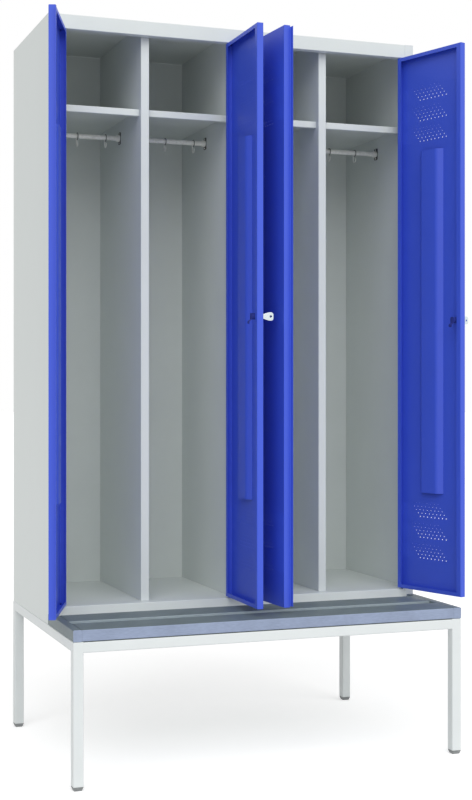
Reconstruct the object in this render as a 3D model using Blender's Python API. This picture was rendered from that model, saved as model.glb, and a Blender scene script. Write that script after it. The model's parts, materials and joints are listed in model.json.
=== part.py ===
"""A steel wardrobe locker with four doors, standing on a bench frame with two seat slats.

X runs across the locker from the left, Y from its front to its back and Z up from the floor.
Sizes are in metres. The origin ends up under the middle of the whole object, on the floor.
"""

import math

import bmesh
import bpy
from mathutils import Matrix, Vector

# Sheet metal and the clearances that several pieces share
SHEET = 0.001
SEAM = 0.0003
PIVOT_CLEARANCE = 0.0003
OVERRUN = 0.004

# Bench frame of square tube, with a glide in each leg
BENCH_WIDTH = 1.200
BENCH_HEIGHT = 0.408
TUBE = 0.030
TUBE_WALL = 0.0015
FRONT_RAIL_DROP = 0.002
GLIDE_HEIGHT = 0.010
GLIDE_PLUG_LENGTH = 0.022

# Seat slats in front of the locker
SLAT_COUNT = 2
SLAT_WIDTH = 0.110
SLAT_THICKNESS = 0.0325
SLAT_GAP = 0.040
SLAT_EDGE_RADIUS = 0.003

# Locker body
BODY_INSET = 0.002
BODY_DEPTH = 0.500
BODY_HEIGHT = 1.794
STILE_WIDTH = 0.030
STILE_RETURN = 0.025
REAR_FLANGE = 0.015
HEADER_HEIGHT = 0.0428
HEADER_RETURN = 0.025
SILL_HEIGHT = 0.0511
SILL_RETURN = 0.025
FLOOR_LAP = 0.015
CENTRE_WIDTH = 0.036
DIVIDER_WIDTH = 0.026
DIVIDER_SETBACK = 0.032

# Hat shelves
SHELF_DROP = 0.2550
SHELF_SETBACK = 0.052
SHELF_EDGE_HEIGHT = 0.0205
SHELF_EDGE_RETURN = 0.012

# Hanging rails, the cups that hold them and the sliding hooks
RAIL_RADIUS = 0.0075
RAIL_SETBACK = 0.262
RAIL_BELOW_SHELF = 0.0535
CUP_RADIUS = 0.0105
CUP_LENGTH = 0.011
BRACKET_THICKNESS = 0.0015
BRACKET_WIDTH = 0.022
BRACKET_HEIGHT = 0.038
SLOT_WIDTH = 0.0035
SLOT_LENGTH = 0.0050
HOOK_WIRE_RADIUS = 0.0015
HOOK_RING_PLAY = 0.0012
HOOK_REACH = 0.0260
HOOK_BEND_RADIUS = 0.0090
HOOK_TIP_LENGTH = 0.0050
HOOK_RING_SWEEP = math.radians(285)
HOOK_ARC_STEP = math.radians(22.5)
HOOK_SHARES = ((0.522, 0.838), (0.477, 0.843), (0.477, 0.843), (0.400, 0.722))

# Doors: folded pans hung on a pin at the top and one at the bottom
HINGE_GAP = 0.0025
PAIR_GAP = 0.002
HEAD_GAP = 0.0027
FOOT_GAP = 0.0043
DOOR_DEPTH = 0.020
HINGE_LIP = 0.015
FREE_LIP = 0.017
END_LIP = 0.012
STOP_DEPTH = 0.0225
STOP_LIP = 0.014
STOP_END_CUT = 0.004
PIN_INSET = 0.005
PIN_SETBACK = 0.004
PIN_RADIUS = 0.002
PIN_REACH = 0.006
COLLAR_RADIUS = 0.0034
DOOR_ANGLES = (110.2, 89.0, 86.4, 107.2)

# Stiffening channel inside each door
STIFFENER_INSET = 0.090
STIFFENER_WIDTH = 0.078
STIFFENER_DEPTH = 0.016
STIFFENER_LENGTH = 1.075

# Turning wing with a padlock hole outside, cam inside
LOCK_INSET = 0.028
ROSE_RADIUS = 0.014
ROSE_THICKNESS = 0.004
WING_THICKNESS = 0.006
WING_RADIUS = 0.0135
WING_REACH = 0.041
WING_NECK = 0.006
WING_ARC = math.radians(120)
WING_ARC_STEPS = 16
PADLOCK_HOLE_RADIUS = 0.004
PADLOCK_HOLE_INSET = 0.0085
SPINDLE_RADIUS = 0.004
BARREL_RADIUS = 0.0095
BARREL_DEPTH = 0.027
CAM_THICKNESS = 0.002
CAM_WIDTH = 0.012
CAM_REACH = 0.022
CAM_HEAD = 0.008
CAM_OFFSET = 0.0065
CAM_CLEARANCE = 0.002

# Round pieces
ROUND_SIDES = 24
SMALL_ROUND_SIDES = 16
WIRE_BEVEL_STEPS = 1
SHARP_ANGLE = math.radians(35)

# Places worked out from the sizes above
BENCH_FRONT = -SLAT_COUNT * (SLAT_GAP + SLAT_WIDTH)
BODY_BOTTOM = BENCH_HEIGHT + SEAM
TOP = BENCH_HEIGHT + BODY_HEIGHT
ROOF_UNDERSIDE = TOP - SHEET
BODY_LEFT = BODY_INSET
BODY_RIGHT = BENCH_WIDTH - BODY_INSET
WALL_LEFT = BODY_LEFT + SHEET
WALL_RIGHT = BODY_RIGHT - SHEET
BACK_OUTER = BODY_DEPTH - SHEET - SEAM
BACK_INNER = BACK_OUTER - SHEET
SILL_TOP = BENCH_HEIGHT + SILL_HEIGHT
HEADER_BOTTOM = TOP - HEADER_HEIGHT
CENTRE_LEFT = (BENCH_WIDTH - CENTRE_WIDTH) / 2
CENTRE_RIGHT = (BENCH_WIDTH + CENTRE_WIDTH) / 2
BAYS = ((BODY_LEFT + STILE_WIDTH, CENTRE_LEFT), (CENTRE_RIGHT, BODY_RIGHT - STILE_WIDTH))
DIVIDERS = tuple(sum(bay) / len(bay) for bay in BAYS)
HALF_DIVIDER = DIVIDER_WIDTH / 2
COMPARTMENTS = (
    (WALL_LEFT, DIVIDERS[0] - HALF_DIVIDER),
    (DIVIDERS[0] + HALF_DIVIDER, CENTRE_LEFT),
    (CENTRE_RIGHT, DIVIDERS[1] - HALF_DIVIDER),
    (DIVIDERS[1] + HALF_DIVIDER, WALL_RIGHT),
)
SHELF_TOP = TOP - SHELF_DROP
RAIL_HEIGHT = SHELF_TOP - RAIL_BELOW_SHELF
DOOR_WIDTH = (BAYS[0][1] - BAYS[0][0] - 2 * HINGE_GAP - PAIR_GAP) / 2
DOOR_BOTTOM = SILL_TOP + FOOT_GAP
DOOR_TOP = HEADER_BOTTOM - HEAD_GAP
DOOR_MIDDLE = (DOOR_BOTTOM + DOOR_TOP) / 2
PIN_FROM_BAY = HINGE_GAP + PIN_INSET
LEFT_HUNG, RIGHT_HUNG = 1, -1
DOORS = (
    (LEFT_HUNG, BAYS[0][0] + PIN_FROM_BAY, DOOR_ANGLES[0]),
    (RIGHT_HUNG, BAYS[0][1] - PIN_FROM_BAY, DOOR_ANGLES[1]),
    (LEFT_HUNG, BAYS[1][0] + PIN_FROM_BAY, DOOR_ANGLES[2]),
    (RIGHT_HUNG, BAYS[1][1] - PIN_FROM_BAY, DOOR_ANGLES[3]),
)

# A door's own frame: X from its pin towards its free edge, Y from its pin inwards
HINGE_EDGE = -PIN_INSET
FREE_EDGE = DOOR_WIDTH - PIN_INSET
OUTER_FACE = -PIN_SETBACK
INNER_FACE = OUTER_FACE + DOOR_DEPTH
LOCK_FROM_PIN = FREE_EDGE - LOCK_INSET
CAM_PLANE = OUTER_FACE + DIVIDER_SETBACK + SHEET + CAM_CLEARANCE


def linear(colour):
    """The linear RGBA of a hex colour."""
    shares = [int(colour[at : at + 2], 16) / 255 for at in (1, 3, 5)]
    return [s / 12.92 if s <= 0.04045 else ((s + 0.055) / 1.055) ** 2.4 for s in shares] + [1]


def material(name, colour, roughness, metallic):
    made = bpy.data.materials.new(name)
    made.use_nodes = True
    shader = made.node_tree.nodes["Principled BSDF"]
    shader.inputs["Base Color"].default_value = linear(colour)
    shader.inputs["Roughness"].default_value = roughness
    shader.inputs["Metallic"].default_value = metallic
    return made


def solid(build):
    """Turns a bmesh into an object in the scene."""
    bmesh.ops.recalc_face_normals(build, faces=build.faces)
    mesh = bpy.data.meshes.new("solid")
    build.to_mesh(mesh)
    build.free()
    made = bpy.data.objects.new("solid", mesh)
    bpy.context.collection.objects.link(made)
    return made


def prism(outline, axis, start, end):
    """An outline, given by its two coordinates across an axis (0, 1 or 2), extruded along the axis."""
    build = bmesh.new()
    corners = []
    for point in outline:
        place = list(point)
        place.insert(axis, start)
        corners.append(build.verts.new(place))
    grown = bmesh.ops.extrude_face_region(build, geom=[build.faces.new(corners)])["geom"]
    for element in grown:
        if isinstance(element, bmesh.types.BMVert):
            element.co[axis] = end
    return solid(build)


def block(low, high):
    """A box between two corners."""
    (left, front, bottom), (right, back, top) = low, high
    outline = [(left, front), (right, front), (right, back), (left, back)]
    return prism(outline, 2, bottom, top)


def rod(radius, axis, start, end, centre=(0, 0), sides=ROUND_SIDES):
    """A round bar along an axis, centred on two coordinates across it."""
    turn = (0.5 / sides) * math.tau
    ring = [
        (
            centre[0] + radius * math.cos(turn + math.tau * k / sides),
            centre[1] + radius * math.sin(turn + math.tau * k / sides),
        )
        for k in range(sides)
    ]
    return prism(ring, axis, start, end)


def bore(radius, axis, start, end, centre=(0, 0), sides=ROUND_SIDES):
    """The cutter of a hole that a round piece of this radius passes with the pivot clearance."""
    flat_radius = (radius + PIVOT_CLEARANCE) / math.cos(math.pi / sides)
    return rod(flat_radius, axis, start, end, centre, sides)


def folded(path, thickness):
    """The outline of a folded sheet. Its outer faces follow the path, and it lies left of travel."""
    path = [Vector(point) for point in path]
    ways = [(after - before).normalized() for before, after in zip(path, path[1:])]
    inner = []
    for index, corner in enumerate(path):
        before = ways[max(index - 1, 0)]
        after = ways[min(index, len(ways) - 1)]
        across = (before + after) / (1 + before.dot(after))
        inner.append(corner + thickness * Vector((-across.y, across.x)))
    return path + inner[::-1]


def combine(base, tool, operation):
    """Joins base with tool or cuts it by tool, and removes the tool."""
    change = base.modifiers.new(operation, "BOOLEAN")
    change.operation = operation
    change.object = tool
    graph = bpy.context.evaluated_depsgraph_get()
    result = bpy.data.meshes.new_from_object(base.evaluated_get(graph))
    base.modifiers.clear()
    for used in (base.data, tool.data):
        if used is base.data:
            base.data = result
        else:
            bpy.data.objects.remove(tool)
        bpy.data.meshes.remove(used)


def piece(name, finish, solids, cuts=(), parent=None, hand=LEFT_HUNG):
    """One sub-part: the solids joined, less the cuts, and mirrored for a right-hung door."""
    made = solids[0]
    for other in solids[1:]:
        combine(made, other, "UNION")
    for cutter in cuts:
        combine(made, cutter, "DIFFERENCE")
    if hand == RIGHT_HUNG:
        made.data.transform(Matrix.Diagonal((hand, 1, 1, 1)))
        made.data.flip_normals()
    made.name = made.data.name = name
    made.data.materials.clear()
    made.data.materials.append(finish)
    made.data.shade_smooth()
    made.data.set_sharp_from_angle(angle=SHARP_ANGLE)
    made.parent = parent
    return made


def pivot(name, parent, place, turn=0):
    """An empty on a joint's axis, which carries the pieces that turn about it."""
    made = bpy.data.objects.new(name, None)
    bpy.context.collection.objects.link(made)
    made.parent = parent
    made.location = place
    made.rotation_euler.z = turn
    return made


def clear_scene():
    for old in list(bpy.data.objects):
        bpy.data.objects.remove(old)


def make_bench_frame(root, paint):
    """Legs and rails of square tube, welded and open inside down to the leg ends."""
    sides = ((0, TUBE), (BENCH_WIDTH - TUBE, BENCH_WIDTH))
    front = (BENCH_FRONT, BENCH_FRONT + TUBE)
    back = (BODY_DEPTH - TUBE, BODY_DEPTH)
    leg_low = GLIDE_HEIGHT + SEAM
    tubes, hollows = [], []

    def add_tube(across, deep, low, high, open_below=0):
        tubes.append(block((across[0], deep[0], low), (across[1], deep[1], high)))
        inside_low = low - open_below if open_below else low + TUBE_WALL
        hollows.append(
            block(
                (across[0] + TUBE_WALL, deep[0] + TUBE_WALL, inside_low),
                (across[1] - TUBE_WALL, deep[1] - TUBE_WALL, high - TUBE_WALL),
            )
        )

    for across in sides:
        for deep in (front, back):
            add_tube(across, deep, leg_low, BENCH_HEIGHT, OVERRUN)
        add_tube(across, (BENCH_FRONT, BODY_DEPTH), BENCH_HEIGHT - TUBE, BENCH_HEIGHT)
    for deep, drop in ((front, FRONT_RAIL_DROP), ((0, TUBE), 0), (back, 0)):
        add_tube((0, BENCH_WIDTH), deep, BENCH_HEIGHT - TUBE - drop, BENCH_HEIGHT - drop)
    piece("bench_frame", paint, tubes, hollows, root)


def make_glides(root, plastic):
    """A foot under each leg, with a plug up into the tube."""
    plug_inset = TUBE_WALL + SEAM
    corners = [(x, y) for x in (0, BENCH_WIDTH - TUBE) for y in (BENCH_FRONT, BODY_DEPTH - TUBE)]
    for number, (x, y) in enumerate(corners, 1):
        foot = block((x, y, 0), (x + TUBE, y + TUBE, GLIDE_HEIGHT))
        plug = block(
            (x + plug_inset, y + plug_inset, GLIDE_HEIGHT / 2),
            (x + TUBE - plug_inset, y + TUBE - plug_inset, GLIDE_HEIGHT + GLIDE_PLUG_LENGTH),
        )
        piece(f"glide_{number}", plastic, [foot, plug], (), root)


def make_slats(root, laminate):
    """The seat, from the slat next to the locker to the one at the front."""
    low = BENCH_HEIGHT + SEAM
    for number in range(SLAT_COUNT):
        back = -SLAT_GAP - number * (SLAT_WIDTH + SLAT_GAP)
        board = block((0, back - SLAT_WIDTH, low), (BENCH_WIDTH, back, low + SLAT_THICKNESS))
        slat = piece(f"seat_slat_{number + 1}", laminate, [board], (), root)
        rounding = slat.modifiers.new("rounded_edges", "BEVEL")
        rounding.width = SLAT_EDGE_RADIUS
        rounding.segments = 2


def make_sides(root, paint):
    """Outer walls with a stile folded in at the front and a flange at the back."""
    for name, edge, inwards in (("side_left", BODY_LEFT, 1), ("side_right", BODY_RIGHT, -1)):
        stile = edge + inwards * STILE_WIDTH
        path = [
            (edge + inwards * REAR_FLANGE, BODY_DEPTH),
            (edge, BODY_DEPTH),
            (edge, 0),
            (stile, 0),
            (stile, STILE_RETURN),
        ]
        sheet = prism(folded(path, inwards * SHEET), 2, BODY_BOTTOM, ROOF_UNDERSIDE - SEAM)
        piece(name, paint, [sheet], (), root)


def make_back(root, paint):
    low = (WALL_LEFT + SEAM, BACK_INNER, BODY_BOTTOM)
    high = (WALL_RIGHT - SEAM, BACK_OUTER, ROOF_UNDERSIDE - SEAM)
    piece("back_panel", paint, [block(low, high)], (), root)


def pin_bores(low, high):
    """Cutters for the four hinge pins through a horizontal sheet."""
    return [
        bore(PIN_RADIUS, 2, low - OVERRUN, high + OVERRUN, (x, PIN_SETBACK), SMALL_ROUND_SIDES)
        for _, x, _ in DOORS
    ]


def make_roof(root, paint):
    """Top sheet with a front fascia between the stiles, folded back along its lower edge."""
    plate = block((BODY_LEFT, 0, ROOF_UNDERSIDE), (BODY_RIGHT, BODY_DEPTH, TOP))
    path = [(0, TOP - SHEET / 2), (0, HEADER_BOTTOM), (HEADER_RETURN, HEADER_BOTTOM)]
    fascia = prism(folded(path, SHEET), 0, BAYS[0][0] + SEAM, BAYS[1][1] - SEAM)
    piece("roof", paint, [plate, fascia], pin_bores(HEADER_BOTTOM, HEADER_BOTTOM + SHEET), root)


def make_floor(root, paint):
    """Floor sheet with a sill between the stiles, folded back under the locker."""
    plate = block(
        (WALL_LEFT + SEAM, STILE_RETURN + SEAM, SILL_TOP - SHEET),
        (WALL_RIGHT - SEAM, BACK_INNER - SEAM, SILL_TOP),
    )
    path = [
        (STILE_RETURN + FLOOR_LAP, SILL_TOP),
        (0, SILL_TOP),
        (0, BODY_BOTTOM),
        (SILL_RETURN, BODY_BOTTOM),
    ]
    sill = prism(folded(path, SHEET), 0, BAYS[0][0] + SEAM, BAYS[1][1] - SEAM)
    piece("floor", paint, [plate, sill], pin_bores(SILL_TOP - SHEET, SILL_TOP), root)


def upright(left, right, front, top):
    """A sheet folded round three sides, open at the back."""
    back = BACK_INNER - SEAM
    path = [(left, back), (left, front), (right, front), (right, back)]
    return prism(folded(path, SHEET), 2, SILL_TOP + SEAM, top)


def make_partitions(root, paint):
    """The centre partition carries hinges on both sides; the dividers between a pair take the cams."""
    top = ROOF_UNDERSIDE - SEAM
    notch = block(
        (CENTRE_LEFT - OVERRUN, -OVERRUN, HEADER_BOTTOM - SEAM),
        (CENTRE_RIGHT + OVERRUN, HEADER_RETURN + SEAM, TOP),
    )
    centre = upright(CENTRE_LEFT, CENTRE_RIGHT, 0, top)
    piece("centre_partition", paint, [centre], [notch], root)
    wall_from_lock = PAIR_GAP / 2 + LOCK_INSET - HALF_DIVIDER
    cam_tip = math.hypot(CAM_REACH, CAM_WIDTH / 2)
    slot_low = DOOR_MIDDLE - math.sqrt(cam_tip**2 - wall_from_lock**2) - CAM_CLEARANCE
    slot_high = DOOR_MIDDLE + CAM_WIDTH / 2 + CAM_CLEARANCE
    slot_front = DIVIDER_SETBACK + SHEET + CAM_CLEARANCE / 2
    slot_back = slot_front + CAM_CLEARANCE + CAM_THICKNESS
    for name, middle in zip(("divider_left", "divider_right"), DIVIDERS):
        left, right = middle - HALF_DIVIDER, middle + HALF_DIVIDER
        inside = right - SHEET - OVERRUN
        slot = block((inside, slot_front, slot_low), (right + OVERRUN, slot_back, slot_high))
        piece(name, paint, [upright(left, right, DIVIDER_SETBACK, top)], [slot], root)


def make_shelves(root, paint):
    back = BACK_INNER - SEAM
    edge_low = SHELF_TOP - SHELF_EDGE_HEIGHT
    path = [
        (back, SHELF_TOP),
        (SHELF_SETBACK, SHELF_TOP),
        (SHELF_SETBACK, edge_low),
        (SHELF_SETBACK + SHELF_EDGE_RETURN, edge_low),
    ]
    for number, (left, right) in enumerate(COMPARTMENTS, 1):
        sheet = prism(folded(path, SHEET), 0, left + SEAM, right - SEAM)
        piece(f"hat_shelf_{number}", paint, [sheet], (), root)


def make_bracket(name, root, steel, wall, inwards):
    """A wall plate with a cup for the rail's end and a screw slot above and below it."""
    face = wall + inwards * SEAM
    plate_end = face + inwards * BRACKET_THICKNESS
    cup_end = plate_end + inwards * CUP_LENGTH
    centre = (RAIL_SETBACK, RAIL_HEIGHT)
    half_width, half_height = BRACKET_WIDTH / 2, BRACKET_HEIGHT / 2
    outline = [
        (RAIL_SETBACK + y * half_width, RAIL_HEIGHT + z * half_height)
        for y, z in ((-1, -1), (1, -1), (1, 1), (-1, 1))
    ]
    plate = prism(outline, 0, face, plate_end)
    cup = rod(CUP_RADIUS, 0, (face + plate_end) / 2, cup_end, centre)
    cuts = [bore(RAIL_RADIUS, 0, plate_end, cup_end + inwards * OVERRUN, centre)]
    for way in (-1, 1):
        middle = RAIL_HEIGHT + way * (CUP_RADIUS + half_height) / 2
        slot = [
            (RAIL_SETBACK + y * SLOT_WIDTH / 2, middle + z * SLOT_LENGTH / 2)
            for y, z in ((-1, -1), (1, -1), (1, 1), (-1, 1))
        ]
        cuts.append(prism(slot, 0, face - inwards * OVERRUN, plate_end + inwards * OVERRUN))
    piece(name, steel, [plate, cup], cuts, root)


def make_hook_curve(steel):
    """Bent wire: a ring round the rail, a stem behind it and an open bend that ends in front."""
    ring_radius = RAIL_RADIUS + HOOK_RING_PLAY + HOOK_WIRE_RADIUS
    ring_height = SEAM - HOOK_RING_PLAY
    bend_height = HOOK_WIRE_RADIUS + HOOK_BEND_RADIUS - RAIL_RADIUS - HOOK_REACH
    bend_middle = ring_radius - HOOK_BEND_RADIUS

    def arc(middle, height, radius, start, sweep):
        steps = max(2, round(sweep / HOOK_ARC_STEP))
        angles = [start - sweep * k / steps for k in range(steps + 1)]
        return [(middle + radius * math.cos(a), height + radius * math.sin(a)) for a in angles]

    path = arc(0, ring_height, ring_radius, HOOK_RING_SWEEP, HOOK_RING_SWEEP)
    path += arc(bend_middle, bend_height, HOOK_BEND_RADIUS, 0, math.pi)
    path.append((bend_middle - HOOK_BEND_RADIUS, bend_height + HOOK_TIP_LENGTH))
    curve = bpy.data.curves.new("coat_hook", "CURVE")
    curve.dimensions = "3D"
    curve.bevel_depth = HOOK_WIRE_RADIUS
    curve.bevel_resolution = WIRE_BEVEL_STEPS
    curve.use_fill_caps = True
    spline = curve.splines.new("POLY")
    spline.points.add(len(path) - 1)
    for point, (y, z) in zip(spline.points, path):
        point.co = (0, y, z, 1)
    curve.materials.append(steel)
    return curve


def make_rails(root, steel):
    """In each compartment a rail in two cups, with two hooks that slide along it."""
    hook_curve = make_hook_curve(steel)
    end_gap = SEAM + BRACKET_THICKNESS + SEAM
    for number, (left, right) in enumerate(COMPARTMENTS, 1):
        centre = (RAIL_SETBACK, RAIL_HEIGHT)
        bar = rod(RAIL_RADIUS, 0, left + end_gap, right - end_gap, centre)
        piece(f"hanging_rail_{number}", steel, [bar], (), root)
        make_bracket(f"rail_bracket_{number}_left", root, steel, left, 1)
        make_bracket(f"rail_bracket_{number}_right", root, steel, right, -1)
        for side, share in zip(("left", "right"), HOOK_SHARES[number - 1]):
            hook = bpy.data.objects.new(f"coat_hook_{number}_{side}", hook_curve)
            bpy.context.collection.objects.link(hook)
            hook.parent = root
            hook.location = (left + share * (right - left), RAIL_SETBACK, RAIL_HEIGHT)


def make_hinge_pins(root, steel):
    """Each pin is fixed in the body, and its collar fills the gap to the door."""
    ends = (("bottom", SILL_TOP, DOOR_BOTTOM, 1), ("top", HEADER_BOTTOM, DOOR_TOP, -1))
    for number, (_, x, _) in enumerate(DOORS, 1):
        centre = (x, PIN_SETBACK)
        for end, sheet_face, door_face, way in ends:
            seam, reach = way * SEAM, way * PIN_REACH
            collar = rod(COLLAR_RADIUS, 2, sheet_face + seam, door_face - seam, centre, SMALL_ROUND_SIDES)
            pin = rod(PIN_RADIUS, 2, sheet_face - reach, door_face + reach, centre, SMALL_ROUND_SIDES)
            piece(f"hinge_pin_{number}_{end}", steel, [collar, pin], (), root)


def make_door_pan(name, paint, axis, hand):
    """A sheet folded in on four sides. A left-hung pan ends in a stop lip that its pair closes over,
    and a right-hung one has the hole for the lock."""
    passive = hand == LEFT_HUNG
    free_lip = SHEET if passive else FREE_LIP
    pan = block((HINGE_EDGE, OUTER_FACE, DOOR_BOTTOM), (FREE_EDGE, INNER_FACE, DOOR_TOP))
    hollow = block(
        (HINGE_EDGE + SHEET, OUTER_FACE + SHEET, DOOR_BOTTOM + SHEET),
        (FREE_EDGE - SHEET, INNER_FACE - SHEET, DOOR_TOP - SHEET),
    )
    mouth = block(
        (HINGE_EDGE + HINGE_LIP, (OUTER_FACE + INNER_FACE) / 2, DOOR_BOTTOM + END_LIP),
        (FREE_EDGE - free_lip, INNER_FACE + OVERRUN, DOOR_TOP - END_LIP),
    )
    for cutter in (hollow, mouth):
        combine(pan, cutter, "DIFFERENCE")
    solids = [pan]
    cuts = [
        bore(PIN_RADIUS, 2, low - OVERRUN, low + SHEET + OVERRUN, sides=SMALL_ROUND_SIDES)
        for low in (DOOR_BOTTOM, DOOR_TOP - SHEET)
    ]
    if passive:
        stop_face = OUTER_FACE + STOP_DEPTH - SHEET
        path = [(FREE_EDGE, INNER_FACE - SHEET), (FREE_EDGE, stop_face), (FREE_EDGE + STOP_LIP, stop_face)]
        solids.append(prism(folded(path, SHEET), 2, DOOR_BOTTOM + STOP_END_CUT, DOOR_TOP - STOP_END_CUT))
    else:
        centre = (LOCK_FROM_PIN, DOOR_MIDDLE)
        notch_radius = BARREL_RADIUS + CAM_CLEARANCE
        cuts.append(bore(SPINDLE_RADIUS, 1, OUTER_FACE - OVERRUN, OUTER_FACE + SHEET + OVERRUN, centre))
        cuts.append(rod(notch_radius, 1, INNER_FACE - SHEET - OVERRUN, INNER_FACE + OVERRUN, centre))
    return piece(name, paint, solids, cuts, axis, hand)


def make_stiffener(name, paint, axis, hand):
    """A channel welded to the inner face of the door skin."""
    left = HINGE_EDGE + STIFFENER_INSET
    right = left + STIFFENER_WIDTH
    foot = OUTER_FACE + SHEET + SEAM
    crest = OUTER_FACE + STIFFENER_DEPTH
    path = [(right, foot), (right, crest), (left, crest), (left, foot)]
    half_length = STIFFENER_LENGTH / 2
    channel = prism(folded(path, SHEET), 2, DOOR_MIDDLE - half_length, DOOR_MIDDLE + half_length)
    piece(name, paint, [channel], (), axis, hand)


def wing_outline():
    """The wing from the side: a neck that widens into a round end."""
    start = OUTER_FACE - SEAM - ROSE_THICKNESS / 2
    middle = OUTER_FACE - WING_REACH + WING_RADIUS
    outline = [(start, WING_NECK), (start, -WING_NECK)]
    for k in range(WING_ARC_STEPS + 1):
        angle = WING_ARC * (2 * k / WING_ARC_STEPS - 1)
        outline.append((middle - WING_RADIUS * math.cos(angle), WING_RADIUS * math.sin(angle)))
    return outline


def make_lock(number, axis, metal, hand):
    """A wing outside the door and a cam inside it, on one spindle. At rest the cam points down."""
    turn = pivot(f"lock_axis_{number}", axis, (hand * LOCK_FROM_PIN, 0, DOOR_MIDDLE))
    rose_face = OUTER_FACE - SEAM
    half_wing = WING_THICKNESS / 2
    hole_place = OUTER_FACE - WING_REACH + PADLOCK_HOLE_INSET
    cam_place = OUTER_FACE + BARREL_DEPTH
    wing = [
        rod(ROSE_RADIUS, 1, rose_face - ROSE_THICKNESS, rose_face),
        rod(SPINDLE_RADIUS, 1, rose_face - ROSE_THICKNESS / 2, cam_place + CAM_THICKNESS),
        prism(wing_outline(), 0, -half_wing, half_wing),
    ]
    hole = rod(PADLOCK_HOLE_RADIUS, 0, -half_wing - OVERRUN, half_wing + OVERRUN, (hole_place, 0))
    piece(f"lock_wing_{number}", metal, wing, [hole], turn, hand)
    path = [
        (cam_place, CAM_HEAD),
        (cam_place, -BARREL_RADIUS),
        (CAM_PLANE, CAM_OFFSET - CAM_REACH),
        (CAM_PLANE, -CAM_REACH),
    ]
    arm = prism(folded(path, CAM_THICKNESS), 0, -CAM_WIDTH / 2, CAM_WIDTH / 2)
    barrel_face = OUTER_FACE + SHEET + SEAM
    barrel = rod(BARREL_RADIUS, 1, barrel_face, cam_place + CAM_THICKNESS / 2)
    through = bore(SPINDLE_RADIUS, 1, barrel_face - OVERRUN, cam_place + CAM_THICKNESS + OVERRUN)
    piece(f"lock_cam_{number}", metal, [barrel, arm], [through], turn, hand)


def make_doors(root, blue, chrome):
    """A left-hung and a right-hung door in each bay, open as found. The right-hung ones lock."""
    for number, (hand, x, angle) in enumerate(DOORS, 1):
        axis = pivot(f"door_axis_{number}", root, (x, PIN_SETBACK, 0), -hand * math.radians(angle))
        make_door_pan(f"door_{number}", blue, axis, hand)
        make_stiffener(f"door_stiffener_{number}", blue, axis, hand)
        if hand == RIGHT_HUNG:
            make_lock(number, axis, chrome, hand)


def centre_on_floor(root):
    """Moves the whole object so that the origin lies under the middle of its bounding box."""
    bpy.context.view_layer.update()
    places = [
        made.matrix_world @ vertex.co
        for made in bpy.data.objects
        if made.type == "MESH"
        for vertex in made.data.vertices
    ]
    for axis in (0, 1):
        across = [place[axis] for place in places]
        root.location[axis] = -(min(across) + max(across)) / 2


def main():
    clear_scene()
    body_paint = material("body_paint", "#D9DFE1", 0.45, 0.0)
    frame_paint = material("frame_paint", "#DEE5E7", 0.4, 0.0)
    door_paint = material("door_paint", "#354BB6", 0.4, 0.0)
    laminate = material("slat_laminate", "#707C87", 0.5, 0.0)
    steel = material("zinc_plated_steel", "#9A9C98", 0.35, 1.0)
    chrome = material("lock_chrome", "#D5D8DA", 0.2, 1.0)
    plastic = material("glide_plastic", "#4A4D50", 0.6, 0.0)
    root = pivot("locker_with_bench", None, (0, 0, 0))
    make_bench_frame(root, frame_paint)
    make_glides(root, plastic)
    make_slats(root, laminate)
    make_sides(root, body_paint)
    make_back(root, body_paint)
    make_roof(root, body_paint)
    make_floor(root, body_paint)
    make_partitions(root, body_paint)
    make_shelves(root, body_paint)
    make_rails(root, steel)
    make_hinge_pins(root, steel)
    make_doors(root, door_paint, chrome)
    centre_on_floor(root)


if __name__ == "__main__":
    main()
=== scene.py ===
"""Finished pieces for a four-door wardrobe locker on a bench frame with two seat slats.

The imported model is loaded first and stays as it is. Each operator models one kind of piece at the
place of the node that it stands for, gives it its material and lets it ride on its body. X runs
along the row of doors, Y from the front to the back and Z up, in metres.
"""

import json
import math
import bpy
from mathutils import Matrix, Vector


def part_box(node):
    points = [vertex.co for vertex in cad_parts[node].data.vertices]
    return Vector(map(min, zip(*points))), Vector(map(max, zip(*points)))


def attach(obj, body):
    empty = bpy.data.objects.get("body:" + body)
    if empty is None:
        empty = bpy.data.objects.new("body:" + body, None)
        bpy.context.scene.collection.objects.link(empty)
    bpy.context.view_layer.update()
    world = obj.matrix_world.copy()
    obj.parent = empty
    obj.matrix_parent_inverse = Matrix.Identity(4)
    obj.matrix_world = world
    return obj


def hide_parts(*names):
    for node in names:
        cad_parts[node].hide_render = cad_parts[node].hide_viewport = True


bl_info = {
    "name": "Locker with bench",
    "version": (1, 0, 0),
    "blender": (4, 5, 0),
    "location": "View3D > Sidebar > Locker",
    "description": "Models the finished pieces of a wardrobe locker on a bench frame",
    "category": "Object",
}

import bmesh
import bpy
from bpy.props import FloatProperty, FloatVectorProperty, IntProperty, PointerProperty
from mathutils import Matrix, Vector

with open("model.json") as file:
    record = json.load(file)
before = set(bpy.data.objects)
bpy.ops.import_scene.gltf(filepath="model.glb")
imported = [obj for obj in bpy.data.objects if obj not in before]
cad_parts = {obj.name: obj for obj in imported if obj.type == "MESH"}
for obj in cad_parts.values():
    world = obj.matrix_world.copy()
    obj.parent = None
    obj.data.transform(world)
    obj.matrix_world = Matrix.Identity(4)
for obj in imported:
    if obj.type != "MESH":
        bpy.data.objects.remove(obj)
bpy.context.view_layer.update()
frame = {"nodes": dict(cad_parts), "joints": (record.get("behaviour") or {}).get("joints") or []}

DOORS = (1, 2, 3, 4)
LOCKED_DOORS = (2, 4)
COMPARTMENTS = (1, 2, 3, 4)
GLIDES = (1, 2, 3, 4)
VENTS_AT_END = 3
SIDES = ("left", "right")
JOINTS = {joint["name"]: joint for joint in frame["joints"]}

TOLERANCE = 1e-5
# An edge or a normal with this share of its length along an axis is parallel to it.
PARALLEL = 0.999
# Shading is smooth over edges that turn by less than this.
SHARP = math.radians(32)
# A loop this far inside a flat face's border keeps the shading of its middle flat.
RIM = 0.0004
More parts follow.
